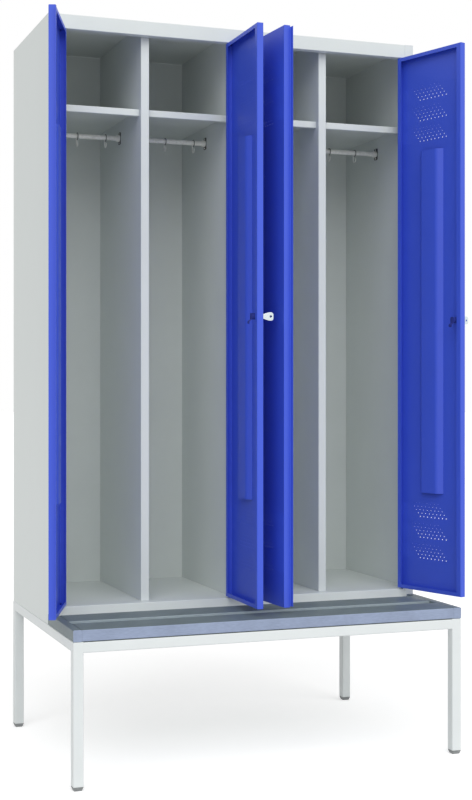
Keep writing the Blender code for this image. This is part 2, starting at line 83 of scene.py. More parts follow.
# How far a cutter stands out of what it cuts, and how far it reaches into the hollow behind it.
CUT_OUT = 0.01
CUT_IN = 0.004

# The camera of the photograph. It stands upright and its shift puts the object off centre.
CAMERA_PLACE = (-1.543913, -4.1004, 1.1015)
CAMERA_HEADING = math.radians(-19.5)
CAMERA_LENS = 62.76
CAMERA_SHIFT = (0.0410, -0.0149)

# Each lamp's heading, height, strength and width of disc, with the angles in degrees.
LAMPS = {"key": (-20, 42, 1.5, 60), "fill": (40, 30, 0.55, 45)}
SKY_LIGHT = 0.5
FLOOR_RADIUS = 60
FLOOR_SHADE = 0.8
FLOOR_GLOW = 0.45


def linear(colour):
    """The linear RGB of a hex colour."""
    shares = [int(colour[at : at + 2], 16) / 255 for at in (1, 3, 5)]
    return [s / 12.92 if s <= 0.04045 else ((s + 0.055) / 1.055) ** 2.4 for s in shares]


def length(name, default, description):
    return FloatProperty(
        name=name, description=description, default=default, unit="LENGTH", precision=4
    )


def colour(name, default, description):
    return FloatVectorProperty(
        name=name, description=description, default=linear(default), subtype="COLOR", min=0, max=1
    )


class LockerSizes(bpy.types.PropertyGroup):
    """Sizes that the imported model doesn't give, in metres."""

    # Sheet metal.
    sheet: length("Sheet", 0.001, "Thickness of the folded sheet metal")
    fold_radius: length("Fold radius", 0.002, "Outer radius of a fold in the sheet metal")
    seam: length("Seam", 0.0003, "Gap between pieces that touch")

    # Bench frame and seat.
    tube_radius: length("Tube corner", 0.003, "Corner radius of the square tubes")
    tube_inset: length("Rail inset", 0.0003, "How far a rail's faces stand behind those of its leg")
    front_rail_drop: length("Front rail drop", 0.0013, "How far the front rail lies below the legs")
    glide_taper: length("Glide taper", 0.004, "How far a glide narrows on each side to the floor")
    glide_step: length("Glide step", 0.0018, "How far a glide's plug stands back from its foot")
    glide_edge: length("Glide edge", 0.0012, "Edge radius of a glide at the floor")
    batten_width: length("Batten width", 0.025, "Width of the battens across the ends of the seat")
    slat_radius: length("Slat edge", 0.003, "Edge radius of the seat slats")

    # Body, back and dividers.
    stile_width: length("Stile width", 0.030, "Width of the locker's front stiles")
    stile_return: length("Stile return", 0.025, "Depth to which a stile is folded back")
    rear_flange: length("Rear flange", 0.015, "Width of the side walls' flanges at the back")
    header_height: length("Header height", 0.0428, "Height of the fascia above the doors")
    header_return: length("Header return", 0.025, "Depth of the fascia's lower fold")
    sill_return: length("Sill return", 0.025, "Depth of the sill's lower fold")
    shelf_return: length("Shelf return", 0.012, "Depth of the lower fold of a shelf's front edge")
    weld_width: length("Weld width", 0.006, "Diameter of the spot-weld marks on the back")
    weld_depth: length("Weld depth", 0.0003, "Depth of the spot-weld marks")
    weld_count: IntProperty(name="Welds", description="Spot welds up the back", default=18)
    slot_setback: length("Slot setback", 0.002, "Distance of a cam's slot from a divider's front")
    slot_width: length("Slot width", 0.004, "Width of the slot that a cam turns into")
    slot_rise: length("Slot rise", 0.008, "How far the slot reaches above the lock's middle")
    slot_drop: length("Slot drop", 0.0224, "How far the slot reaches below the lock's middle")
    slot_corner: length("Slot corner", 0.0015, "Corner radius of the slot")

    # Hanging rails, brackets and coat hooks.
    rail_wall: length("Rail wall", 0.0012, "Wall of the hanging rails' tube")
    bracket_plate: length("Bracket plate", 0.0015, "Thickness of the plate behind a hanging rail")
    bracket_corner: length("Bracket corner", 0.004, "Corner radius of the plate")
    cup_radius: length("Cup radius", 0.0105, "Radius of the cup that holds a hanging rail")
    cup_edge: length("Cup edge", 0.0008, "Edge radius of the cup")
    screw_radius: length("Screw radius", 0.0026, "Radius of the screw heads in a bracket")
    screw_height: length("Screw height", 0.0014, "How far a screw head stands out of its plate")
    screw_edge: length("Screw edge", 0.0008, "Edge radius of a screw head")
    screw_sink: length("Screw sink", 0.0004, "How far a screw head goes into its plate")
    recess_length: length("Recess length", 0.0026, "Length of each arm of a screw's cross recess")
    recess_width: length("Recess width", 0.0006, "Width of each arm of the cross recess")
    recess_depth: length("Recess depth", 0.0006, "Depth of the cross recess")
    wire_radius: length("Wire radius", 0.0015, "Radius of the coat hooks' wire")
    hook_ring: length("Hook ring", 0.0102, "Radius of a coat hook's ring, at the wire's middle")
    hook_sag: length("Hook sag", 0.0009, "How far the ring hangs below the rail's middle")
    hook_reach: length("Hook reach", 0.0335, "How far it reaches below the rail's middle")
    hook_bend: length("Hook bend", 0.0090, "Radius of a coat hook's lower bend")
    hook_tip: length("Hook tip", 0.0050, "Length of a coat hook's upturned tip")

    # Doors and their hinges.
    pin_diameter: length("Pin diameter", 0.004, "Diameter of the hinge pins")
    pin_reach: length("Pin reach", 0.0063, "How far a hinge pin stands out of its collar")
    pin_edge: length("Pin edge", 0.0003, "Edge radius of the hinge pins and their collars")
    pin_hole: length("Pin hole", 0.0046, "Diameter of the holes for the hinge pins")
    hinge_lip: length("Hinge lip", 0.015, "Width of a door pan's lip at its hinges")
    free_lip: length("Free lip", 0.017, "Width of a locking door's lip at its free edge")
    end_lip: length("End lip", 0.012, "Width of a door pan's lips at its top and bottom")
    stop_cut: length("Stop cut", 0.004, "How far the stop lip ends from the door's two ends")
    stop_fold: length("Stop fold", 0.0012, "Outer radius of the stop lip's fold")
    stiffener_fold: length("Stiffener fold", 0.008, "Outer radius of the folds of a door's channel")
    stiffener_slant: length("Channel slope", 0.006, "Width of the channel's slope at the hinges")
    stiffener_skirt: length("Channel skirt", 0.014, "How far the channel's foot lies past its node")
    stiffener_crest: length("Channel crest", 0.003, "How far the channel's crest lies inside it")
    vent_hole: length("Vent hole", 0.0035, "Diameter of the holes in the lowest row of a vent")
    vent_fade: length("Vent fade", 0.0005, "How much smaller the holes of each higher row are")
    vent_pitch: length("Vent pitch", 0.01594, "Distance between holes in a row")
    vent_rise: length("Vent rise", 0.0105, "Distance between rows of holes")
    vent_lean: length("Vent lean", 0.0085, "How far each higher row shifts towards the hinge")
    vent_start: length("Vent start", 0.077, "Distance of the first hole from the hinge axis")
    vent_offset: length("Vent offset", 0.5935, "Distance of the inner vents from a door's middle")
    vent_spacing: length("Vent spacing", 0.06525, "Distance between the vents at one end of a door")
    vent_columns: IntProperty(name="Vent columns", description="Holes in a vent's row", default=8)
    vent_rows: IntProperty(name="Vent rows", description="Rows of holes in a vent", default=5)

    # Locks.
    rose_radius: length("Rose radius", 0.014, "Radius of the rose under a lock's wing")
    rose_height: length("Rose height", 0.004, "Height of the rose")
    rose_edge: length("Rose edge", 0.0016, "Edge radius of the rose")
    spindle_radius: length("Spindle radius", 0.004, "Radius of the spindle that turns the cam")
    spindle_edge: length("Spindle edge", 0.0006, "Edge radius of the spindle's end")
    wing_inset: length("Wing inset", 0.0017, "How far the wing's ends lie inside its node")
    wing_root: length("Wing root", 0.0035, "Distance of the wing's root from the seam")
    wing_half: length("Wing half", 0.003, "Half the thickness of the wing")
    wing_corner: length("Wing corner", 0.0072, "Radius of the wing's outer corners")
    wing_waist: length("Wing waist", 0.003, "Radius of the bend above the wing's waist")
    wing_edge: length("Wing edge", 0.0007, "Edge radius of the wing and its hole")
    padlock_radius: length("Padlock hole", 0.0034, "Radius of the wing's padlock hole")
    padlock_place: length("Padlock place", 0.0085, "Distance of that hole from the wing's front")
    lock_hole: length("Lock hole", 0.0043, "Radius of the holes that the spindle passes through")
    lock_notch: length("Lock notch", 0.0115, "Radius of the notch for the barrel in a door's lip")
    barrel_radius: length("Barrel radius", 0.0095, "Radius of a lock's barrel")
    barrel_edge: length("Barrel edge", 0.0008, "Edge radius of the barrel")
    cam_sheet: length("Cam thickness", 0.002, "Thickness of the cam's steel")
    cam_half: length("Cam half", 0.006, "Half the width of the cam")
    cam_fold: length("Cam fold", 0.001, "Outer radius of the cam's folds")
    cam_corner: length("Cam corner", 0.004, "Corner radius of the cam's ends")
    cam_tongue: length("Cam tongue", 0.0065, "Length of the flat end of the cam")


class LockerColours(bpy.types.PropertyGroup):
    """Colours of the finishes."""

    body: colour("Body", "#D9DFDD", "Powder coat of the locker's body")
    bench: colour("Bench", "#DFE4E4", "Powder coat of the bench frame")
    door: colour("Doors", "#3B58D4", "Powder coat of the doors")
    slat_top: colour("Slat top", "#6A777A", "Laminate of the seat slats")
    # Painted light: a lighter, bluish copy of the slat laminate for the faces that look to the
    # front.
    lit_slat_edge: colour("Slat edge", "#8F9CB6", "Edge band along the front of the seat")
    # Painted shade: a greyer copy of the laminate for the front and back faces of the back slat,
    # seen in the gap between the slats.
    shaded_inner_edge: colour("Inner edge", "#8F9CA1", "Edge band of the slat behind the front one")
    steel: colour("Steel", "#F5F5F1", "Zinc-plated rails and hooks")
    chrome: colour("Chrome", "#DEE8EA", "Chrome of the lock wings")
    # Painted shade with a painted reflection of the blue doors: a dark blue for the pins, lock
    # barrels and cams.
    shade_blue: colour("Dark steel", "#1E2E86", "Blued steel of the pins, lock barrels and cams")
    # Painted shade: a nearly black grey for the brackets' plates behind the rails.
    plate_shade: colour("Dull steel", "#4E514E", "Phosphated steel of the rail brackets' plates")
    # Painted shade: a grey for the rings of the coat hooks round the rails.
    ring_shade: colour("Sleeve", "#868987", "Plastic sleeves on the rings of the coat hooks")
    plastic: colour("Plastic", "#8E9192", "Moulded glides")


def select_only(made):
    bpy.ops.object.select_all(action="DESELECT")
    made.select_set(True)
    bpy.context.view_layer.objects.active = made


def name_new(name):
    made = bpy.context.object
    made.name = made.data.name = name
    return made


def settle(made):
    """Moves a piece's place, turn and scale into its mesh."""
    select_only(made)
    bpy.ops.object.transform_apply(location=True, rotation=True, scale=True)
    return made


def add_box(name, low, high):
    """A cube primitive at the place and size between two corners."""
    low, high = Vector(low), Vector(high)
    bpy.ops.object.select_all(action="DESELECT")
    bpy.ops.mesh.primitive_cube_add(size=1, location=(low + high) / 2)
    bpy.context.object.scale = high - low
    return settle(name_new(name))


def add_bar(name, radius, start, end, sides=32):
    """A cylinder primitive between two points."""
    start, end = Vector(start), Vector(end)
    way = end - start
    bpy.ops.object.select_all(action="DESELECT")
    bpy.ops.mesh.primitive_cylinder_add(
        vertices=sides,
        radius=radius,
        depth=way.length,
        location=(start + end) / 2,
        rotation=way.to_track_quat("Z", "Y").to_euler(),
    )
    return settle(name_new(name))


def edit(made):
    select_only(made)
    bpy.ops.object.mode_set(mode="EDIT")


def leave_edit():
    bpy.ops.object.mode_set(mode="OBJECT")


def pick(kind, test):
    """In edit mode, selects only the vertices, edges or faces that pass a test."""
    mesh = bpy.context.object.data
    kinds = ("VERT", "EDGE", "FACE")
    bpy.context.tool_settings.mesh_select_mode = [kind == each for each in kinds]
    bpy.ops.mesh.select_all(action="DESELECT")
    editing = bmesh.from_edit_mesh(mesh)
    elements = (editing.verts, editing.edges, editing.faces)[kinds.index(kind)]
    for element in elements:
        if test(element):
            element.select_set(True)
    editing.select_flush_mode()
    bmesh.update_edit_mesh(mesh)


def near(place, other):
    return (Vector(place) - Vector(other)).length < TOLERANCE


def at_level(part, axis, *levels):
    """Whether all corners of an edge or face lie at one of some levels along an axis."""
    places = [vert.co[axis] for vert in part.verts]
    return any(all(abs(place - level) < TOLERANCE for place in places) for level in levels)


def along(edge, axis):
    """Whether an edge runs along an axis."""
    way = (edge.verts[1].co - edge.verts[0].co).normalized()
    return abs(way[axis]) > PARALLEL


def facing(face, axis, sign):
    return face.normal[axis] * sign > PARALLEL


def bevel(radius, steps=3):
    """Rounds the edges selected in edit mode."""
    bpy.ops.mesh.bevel(offset=radius, segments=steps, affect="EDGES", clamp_overlap=True)


def extrude(way):
    """Draws the faces or edges selected in edit mode out along a way."""
    bpy.ops.mesh.extrude_region_move(TRANSFORM_OT_translate={"value": way})


def round_edges(made, radius, steps=3, test=lambda edge: True):
    """Rounds the edges of a piece that pass a test."""
    edit(made)
    pick("EDGE", test)
    bevel(radius, steps)
    leave_edit()
    return made


def modify(made, kind, **settings):
    """Adds a modifier with its settings and applies it."""
    select_only(made)
    change = made.modifiers.new(kind.lower(), kind)
    for setting, value in settings.items():
        setattr(change, setting, value)
    bpy.ops.object.modifier_apply(modifier=change.name)


def thicken(made, thickness, offset=-1):
    modify(made, "SOLIDIFY", thickness=thickness, offset=offset, use_even_offset=True)


def repeat(made, count, step):
    """Puts a row of copies into a mesh, each one a step on from the last."""
    modify(
        made,
        "ARRAY",
        count=count,
        use_relative_offset=False,
        use_constant_offset=True,
        constant_offset_displace=step,
    )


def discard(*models):
    for model in models:
        bpy.data.meshes.remove(model.data)


def cut(made, *cutters):
    """Cuts pieces out of another one and removes them."""
    for cutter in cutters:
        modify(made, "BOOLEAN", operation="DIFFERENCE", solver="EXACT", object=cutter)
        discard(cutter)


def join(name, *parts):
    """Puts several meshes into one piece."""
    bpy.ops.object.select_all(action="DESELECT")
    for part in parts:
        part.select_set(True)
    bpy.context.view_layer.objects.active = parts[0]
    bpy.ops.object.join()
    return name_new(name)


def copy_of(made, name):
    """A copy with its own mesh."""
    select_only(made)
    bpy.ops.object.duplicate(linked=False)
    return name_new(name)


def copy_at(made, name, place):
    """A copy with its own mesh, moved by a place."""
    part = copy_of(made, name)
    part.location = place
    return settle(part)


def mirrored(made):
    """Turns a closed piece into its mirror image along X, with its faces still outwards."""
    made.scale.x = -1
    settle(made)
    edit(made)
    bpy.ops.mesh.select_all(action="SELECT")
    bpy.ops.mesh.normals_make_consistent(inside=False)
    leave_edit()
    return made


def put_on(made, *finishes, choose):
    """Gives a piece several finishes. A function gives the number of each face's one."""
    for finish in finishes:
        made.data.materials.append(bpy.data.materials[finish])
    for face in made.data.polygons:
        face.material_index = int(choose(face))


def finish_piece(made, body, nodes, slot, *finishes):
    """Smooths the shading, puts the finishes on and lets the piece stand for its nodes."""
    select_only(made)
    bpy.ops.object.shade_smooth_by_angle(angle=SHARP)
    modify(made, "WEIGHTED_NORMAL", keep_sharp=True)
    for finish in finishes:
        made.data.materials.append(bpy.data.materials[finish])
    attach(made, body)
    if nodes:
        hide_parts(*nodes)


def spot(point, axis, level):
    """A point given by its two coordinates across an axis, at a level along it."""
    place = list(point)
    place.insert(axis, level)
    return Vector(place)


def fold(name, path, axis, low, high, radius, thickness, side=1):
    """A sheet folded along a path across an axis. Its outer face follows the path, and the sheet
    lies left of travel, or right of it for side -1."""
    middle = (low + high) / 2
    first, second = (spot(point, axis, middle) for point in path[:2])
    flat = (second - first).normalized()
    upright = Vector([float(each == axis) for each in range(3)])
    turn = Matrix((flat, upright, flat.cross(upright))).transposed()
    bpy.ops.object.select_all(action="DESELECT")
    bpy.ops.mesh.primitive_plane_add(
        size=1, location=(first + second) / 2, rotation=turn.to_euler()
    )
    bpy.context.object.scale = ((second - first).length, high - low, 1)
    made = settle(name_new(name))
    edit(made)

    def at(edge, point):
        return all(near(vert.co, spot(point, axis, vert.co[axis])) for vert in edge.verts)

    for before, after in zip(path[1:], path[2:]):
        pick("EDGE", lambda edge: at(edge, before))
        extrude(spot(after, axis, 0) - spot(before, axis, 0))
    pick("EDGE", lambda edge: any(at(edge, corner) for corner in path[1:-1]))
    bevel(radius)
    leave_edit()
    thicken(made, thickness, -side)
    return made


def node(tree, kind, inputs=None, ramp=(), **settings):
    """Adds a node. An input is a value or the output socket that is linked to it, and a ramp is
    given as its stops, each of them a position and a colour."""
    made = tree.nodes.new("ShaderNode" + kind)
    for setting, value in settings.items():
        setattr(made, setting, value)
    for socket, value in (inputs or {}).items():
        if isinstance(value, bpy.types.NodeSocket):
            tree.links.new(value, made.inputs[socket])
        else:
            made.inputs[socket].default_value = value
    for number, (position, shade) in enumerate(ramp):
        stop = made.color_ramp.elements[number]
        stop.position, stop.color = position, (*shade, 1)
    return made


def finish_material(name, draw, base, roughness, metallic):
    """A new material. The pattern that a function draws gives, for the colour and the roughness,
    the value that drives it and two stops, each a position and how much the colour is multiplied
    or the roughness raised there, and for the bump its height, strength and depth."""
    made = bpy.data.materials.new(name)
    made.use_nodes = True
    tree = made.node_tree
    shader = tree.nodes["Principled BSDF"]
    shader.inputs["Metallic"].default_value = metallic
    pattern = draw(tree, node(tree, "TexCoord").outputs["Object"])
    for socket, shade_at in (
        ("Base Color", lambda factor: [min(1, share * factor) for share in base]),
        ("Roughness", lambda more: [roughness + more] * 3),
    ):
        driver, *stops = pattern[socket]
        ramp = [(position, shade_at(amount)) for position, amount in stops]
        shades = node(tree, "ValToRGB", {"Fac": driver}, ramp)
        tree.links.new(shades.outputs["Color"], shader.inputs[socket])
    height, strength, depth = pattern["Normal"]
    bump = node(tree, "Bump", {"Height": height, "Strength": strength, "Distance": depth})
    tree.links.new(bump.outputs["Normal"], shader.inputs["Normal"])


def powder_coat(tree, place):
    """Baked polyester powder: a satin skin with a faint orange peel. The real waves are 1 to 2 mm
    across, drawn at 5 mm so that they show in the render."""
    peel = node(tree, "TexNoise", {"Vector": place, "Scale": 200, "Detail": 2, "Roughness": 0.5})
    cloud = node(tree, "TexNoise", {"Vector": place, "Scale": 9, "Detail": 3, "Roughness": 0.6})
    return {
        "Base Color": (cloud.outputs["Fac"], (0.3, 0.985), (0.7, 1.015)),
        "Roughness": (cloud.outputs["Fac"], (0.3, -0.03), (0.7, 0.04)),
        "Normal": (peel.outputs["Fac"], 0.12, 0.0006),
    }


def laminate(tree, place):
    """Melamine laminate with a pearl-like fleck 3 mm wide and 17 mm long."""
    grain = node(tree, "Mapping", {"Vector": place, "Scale": (60, 320, 320)})
    fleck = node(tree, "TexNoise", {"Vector": grain.outputs["Vector"], "Scale": 1, "Detail": 4})
    cloud = node(tree, "TexNoise", {"Vector": place, "Scale": 14, "Detail": 2})
    mixed = node(tree, "Math", {0: fleck.outputs["Fac"], 1: cloud.outputs["Fac"]}, operation="ADD")
    half = node(tree, "Math", {0: mixed.outputs["Value"], 1: 0.5}, operation="MULTIPLY")
    return {
        "Base Color": (half.outputs["Value"], (0.35, 0.88), (0.65, 1.12)),
        "Roughness": (fleck.outputs["Fac"], (0.3, -0.05), (0.7, 0.08)),
        "Normal": (fleck.outputs["Fac"], 0.15, 0.0004),
    }


def drawn_steel(tree, place):
    """Drawn steel under a thin plating or bluing: fine lines along X, with spots of bloom 8 mm
    across. The real lines are finer than 0.1 mm, drawn 1 mm apart so that they show."""
    drawn = node(tree, "Mapping", {"Vector": place, "Scale": (12, 900, 900)})
    lines = node(tree, "TexNoise", {"Vector": drawn.outputs["Vector"], "Scale": 1, "Detail": 2})
    bloom = node(tree, "TexNoise", {"Vector": place, "Scale": 120, "Detail": 3})
    return {
        "Base Color": (bloom.outputs["Fac"], (0.3, 0.92), (0.7, 1.06)),
        "Roughness": (lines.outputs["Fac"], (0.3, -0.07), (0.7, 0.10)),
        "Normal": (lines.outputs["Fac"], 0.1, 0.0002),
    }


def die_cast(tree, place):
    """Chrome on a polished zinc casting: bright, with a slight ripple 4 mm across and handling
    marks of 1 mm."""
    ripple = node(tree, "TexNoise", {"Vector": place, "Scale": 260, "Detail": 2})
    marks = node(tree, "TexNoise", {"Vector": place, "Scale": 900, "Detail": 4})
    return {
        "Base Color": (ripple.outputs["Fac"], (0.3, 0.95), (0.7, 1.03)),
        "Roughness": (marks.outputs["Fac"], (0.35, -0.04), (0.75, 0.10)),
        "Normal": (ripple.outputs["Fac"], 0.08, 0.0003),
    }


def moulded(tree, place):
    """Moulded polyethylene: matt, with a spark-eroded grain of 1 mm and scuffs of 11 mm."""
    grain = node(tree, "TexVoronoi", {"Vector": place, "Scale": 900})
    scuff = node(tree, "TexNoise", {"Vector": place, "Scale": 90, "Detail": 4})
    return {
        "Base Color": (scuff.outputs["Fac"], (0.3, 0.85), (0.75, 1.2)),
        "Roughness": (scuff.outputs["Fac"], (0.3, -0.08), (0.7, 0.12)),
        "Normal": (grain.outputs["Distance"], 0.2, 0.0003),
    }


class LOCKER_OT_finishes(bpy.types.Operator):
    """Make the materials of all pieces"""

    bl_idname = "locker.finishes"
    bl_label = "Finishes"

    def execute(self, context):
        colours = context.scene.locker_colours
        # Each one's name, pattern, colour, roughness and share of metal.
        for finish in (
            # Pale and satin on the body and the frame, a little duller on the doors.
            ("body_powder_coat", powder_coat, colours.body, 0.42, 0),
            ("frame_powder_coat", powder_coat, colours.bench, 0.38, 0),
            ("door_powder_coat", powder_coat, colours.door, 0.45, 0),
            # Dark grey on the seat's top and ends. The front and back faces get copies of the
            # laminate: a lighter, bluish one as painted light on the front slat and the battens,
            # and a greyer one as painted shade on the back slat, seen in the gap between the slats.
            ("melamine_laminate", laminate, colours.slat_top, 0.48, 0),
            ("laminate_edge_band", laminate, colours.lit_slat_edge, 0.42, 0),
            ("grey_edge_band", laminate, colours.shaded_inner_edge, 0.42, 0),
            # Milky and nearly white on the rails and the hooks' wire, and hardly a mirror.
            ("bright_zinc_plating", drawn_steel, colours.steel, 0.5, 0.15),
            # Mirror-bright on the wings, the only pieces that glint.
            ("chromed_casting", die_cast, colours.chrome, 0.16, 1),
            # A dark blue spot at each pin and lock: painted shade with a painted reflection of the
            # blue doors.
            ("blued_steel", drawn_steel, colours.shade_blue, 0.65, 0.1),
            # Dull and nearly black on the brackets' plates behind the bright ends of the rails:
            # painted shade.
            ("phosphated_steel", drawn_steel, colours.plate_shade, 0.7, 0.3),
            # A soft grey ring, darker and duller than the bare wire of its hook: painted shade
            # where it hangs round the rail.
            ("plastic_sleeve", moulded, colours.ring_shade, 0.6, 0),
            # A matt grey foot under each white leg.
            ("moulded_plastic", moulded, colours.plastic, 0.5, 0),
        ):
            finish_material(*finish)
        return {"FINISHED"}


class LOCKER_OT_bench_frame(bpy.types.Operator):
    """Model the legs and rails of the bench frame"""

    bl_idname = "locker.bench_frame"
    bl_label = "Bench frame"

    def execute(self, context):
        sizes = context.scene.locker_sizes
        low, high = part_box("bench_frame")
        glide_low, glide_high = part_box("glide_1")
        tube, inset = glide_high.x - glide_low.x, sizes.tube_inset
        leg = add_box("leg", low, (low.x + tube, low.y + tube, high.z))
        round_edges(leg, sizes.tube_radius)
        parts = [
            copy_at(leg, "leg", (x, y, 0))
            for x in (0, high.x - low.x - tube)
            for y in (0, high.y - low.y - tube)
        ]
        discard(leg)
        bottom, top = high.z - tube + inset, high.z - inset
        rails = [
            ((x + inset, low.y + tube / 2, bottom), (x + tube - inset, high.y - tube / 2, top))
            for x in (low.x, high.x - tube)
        ]
        body_low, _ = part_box("side_left")
        for y, drop in ((low.y, sizes.front_rail_drop), (body_low.y, 0), (high.y - tube, 0)):
            start = (low.x + tube / 2, y + inset, bottom - drop)
            rails.append((start, (high.x - tube / 2, y + tube - inset, top - drop)))
        for corners in rails:
            parts.append(round_edges(add_box("rail", *corners), sizes.tube_radius))
        made = join("bench_frame_welded", *parts)
        finish_piece(made, "cabinet", ["bench_frame"], "frame_paint", "frame_powder_coat")
        return {"FINISHED"}


class LOCKER_OT_glides(bpy.types.Operator):
    """Model the glides in the leg ends"""

    bl_idname = "locker.glides"
    bl_label = "Glides"

    def execute(self, context):
        sizes = context.scene.locker_sizes
        low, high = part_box("glide_1")
        leg_low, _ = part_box("bench_frame")
        shoulder = leg_low.z - sizes.seam
        foot = add_box("glide", low, (high.x, high.y, shoulder))
        edit(foot)
        pick("EDGE", lambda edge: along(edge, 2))
        bevel(sizes.tube_radius)
        pick("FACE", lambda face: facing(face, 2, 1))
        bpy.ops.mesh.inset(thickness=sizes.glide_step)
        extrude((0, 0, high.z - shoulder))
        pick("FACE", lambda face: facing(face, 2, -1))
        share = 1 - 2 * sizes.glide_taper / (high.x - low.x)
        bpy.ops.transform.resize(value=(share, share, 1), center_override=(low + high) / 2)
        pick("EDGE", lambda edge: at_level(edge, 2, low.z))
        bevel(sizes.glide_edge)
        leave_edit()
        for number in GLIDES:
            place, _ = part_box(f"glide_{number}")
            made = copy_at(foot, f"glide_{number}_moulded", place - low)
            finish_piece(made, "cabinet", [f"glide_{number}"], "glide_plastic", "moulded_plastic")
        discard(foot)
        return {"FINISHED"}


class LOCKER_OT_slats(bpy.types.Operator):
    """Model the seat slats and the battens across their ends"""

    bl_idname = "locker.slats"
    bl_label = "Seat slats"

    def execute(self, context):
        sizes = context.scene.locker_sizes
        inset = sizes.batten_width + sizes.seam
        # The back slat, seen in the gap, takes painted shade on its front and back faces; the front
        # slat takes painted light.
        for number, band in ((1, "grey_edge_band"), (2, "laminate_edge_band")):
            low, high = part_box(f"seat_slat_{number}")
            low.x, high.x = low.x + inset, high.x - inset
            board = self.board(f"seat_slat_{number}_laminated", low, high, 0, band, sizes)
            finish_piece(board, "cabinet", [f"seat_slat_{number}"], "slat_laminate")
        front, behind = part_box("seat_slat_2")[0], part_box("side_left")[0].y - sizes.seam
        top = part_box("seat_slat_1")[1]
        for side in SIDES:
            left = front.x if side == "left" else top.x - sizes.batten_width
            low, high = (left, front.y, front.z), (left + sizes.batten_width, behind, top.z)
            name = f"seat_batten_{side}"
            # A batten's end faces at the front and back take the painted light of the front slat.
            batten = self.board(name, low, high, 1, "laminate_edge_band", sizes)
            finish_piece(batten, "cabinet", [], "slat_laminate")
        return {"FINISHED"}

    def board(self, name, low, high, axis, band, sizes):
        """A board with rounded edges along its length. Its front and back faces take a second
        finish, a copy of the laminate in another tone that paints light or shade on them.
        """
        made = add_box(name, low, high)
        edit(made)
        pick("EDGE", lambda edge: along(edge, axis))
        bevel(sizes.slat_radius, steps=4)
        pick("FACE", lambda face: facing(face, axis, 1) or facing(face, axis, -1))
        bpy.ops.mesh.inset(thickness=2 * RIM)
        leave_edit()
        steep = math.cos(math.pi / 4)
        # Faces turned to the front or back take the second finish with its painted light or shade;
        # the top, bottom and ends keep the laminate.
        put_on(made, "melamine_laminate", band, choose=lambda face: abs(face.normal.y) > steep)
        return made


class LOCKER_OT_body(bpy.types.Operator):
    """Model the sides, back, roof and floor of the locker"""

    bl_idname = "locker.body"
    bl_label = "Body"

    def execute(self, context):
        sizes = context.scene.locker_sizes
        stile = sizes.stile_width
        for side in SIDES:
            low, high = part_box(f"side_{side}")
            edge, way = (low.x, 1) if side == "left" else (high.x, -1)
            path = [
                (edge + way * sizes.rear_flange, high.y),
                (edge, high.y),
                (edge, low.y),
                (edge + way * stile, low.y),
                (edge + way * stile, low.y + sizes.stile_return),
            ]
            name = f"side_{side}"
            made = fold(
                name + "_folded", path, 2, low.z, high.z, sizes.fold_radius, sizes.sheet, way
            )
            finish_piece(made, "cabinet", [name], "body_paint", "body_powder_coat")
        self.back(sizes)
        roof_low, roof_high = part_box("roof")
        floor_low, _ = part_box("floor")
        stiles = (roof_low.x + stile + sizes.seam, roof_high.x - stile - sizes.seam)
        sill_back = floor_low.y + sizes.stile_return + sizes.seam
        for name, bottom, fold_back, shoulder in (
            ("roof", roof_high.z - sizes.header_height, sizes.header_return, roof_low.y),
            ("floor", floor_low.z, sizes.sill_return, sill_back),
        ):
            low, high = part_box(name)
            path = [(high.y, high.z), (low.y, high.z), (low.y, bottom), (low.y + fold_back, bottom)]
            made = self.plate(name + "_folded", low.x, high.x, path, shoulder, stiles, sizes)
            finish_piece(made, "cabinet", [name], "body_paint", "body_powder_coat")
        return {"FINISHED"}

    def back(self, sizes):
        low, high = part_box("back_panel")
        made = add_box("back_panel_pressed", low, high)
        edit(made)
        pick("FACE", lambda face: facing(face, 1, 1))
        bpy.ops.mesh.inset(thickness=RIM)
        leave_edit()
        cut(made, self.spot_welds(low, high, sizes))
        finish_piece(made, "cabinet", ["back_panel"], "body_paint", "body_powder_coat")

    def spot_welds(self, low, high, sizes):
        """One cutter for the shallow marks that spot welding leaves down the panel's sides and
        its middle."""
        step = (high.z - low.z) / sizes.weld_count
        inset = sizes.rear_flange / 2
        columns = []
        for x in (low.x + inset, (low.x + high.x) / 2, high.x - inset):
            start = (x, high.y - sizes.weld_depth, low.z + step / 2)
            end = (x, high.y + CUT_OUT, low.z + step / 2)
            column = add_bar("weld", sizes.weld_width / 2, start, end, sides=16)
            repeat(column, sizes.weld_count, (0, 0, step))
            columns.append(column)
        return join("welds", *columns)

    def plate(self, name, left, right, path, shoulder, stiles, sizes):
        """A plate that reaches forward between the stiles, past its shoulders beside them, and is
        folded down there."""
        (back, top), (front, _) = path[:2]
        bpy.ops.object.select_all(action="DESELECT")
        middle = ((left + right) / 2, (back + shoulder) / 2, top)
        bpy.ops.mesh.primitive_plane_add(size=1, location=middle)
        bpy.context.object.scale = (right - left, back - shoulder, 1)
        made = settle(name_new(name))
        edit(made)
        for x in stiles:
            bpy.ops.mesh.select_all(action="SELECT")
            bpy.ops.mesh.bisect(plane_co=(x, 0, 0), plane_no=(1, 0, 0))

        def at_front(edge, place):
            return all(
                near(vert.co.yz, place)
                and stiles[0] - TOLERANCE < vert.co.x < stiles[1] + TOLERANCE
                for vert in edge.verts
            )

        corners = ([] if abs(front - shoulder) < TOLERANCE else [(shoulder, top)]) + path[1:]
        for before, after in zip(corners, corners[1:]):
            pick("EDGE", lambda edge: at_front(edge, before))
            extrude((0, after[0] - before[0], after[1] - before[1]))
        pick("EDGE", lambda edge: any(at_front(edge, corner) for corner in path[1:-1]))
        bevel(sizes.fold_radius)
        leave_edit()
        thicken(made, sizes.sheet)
        return made


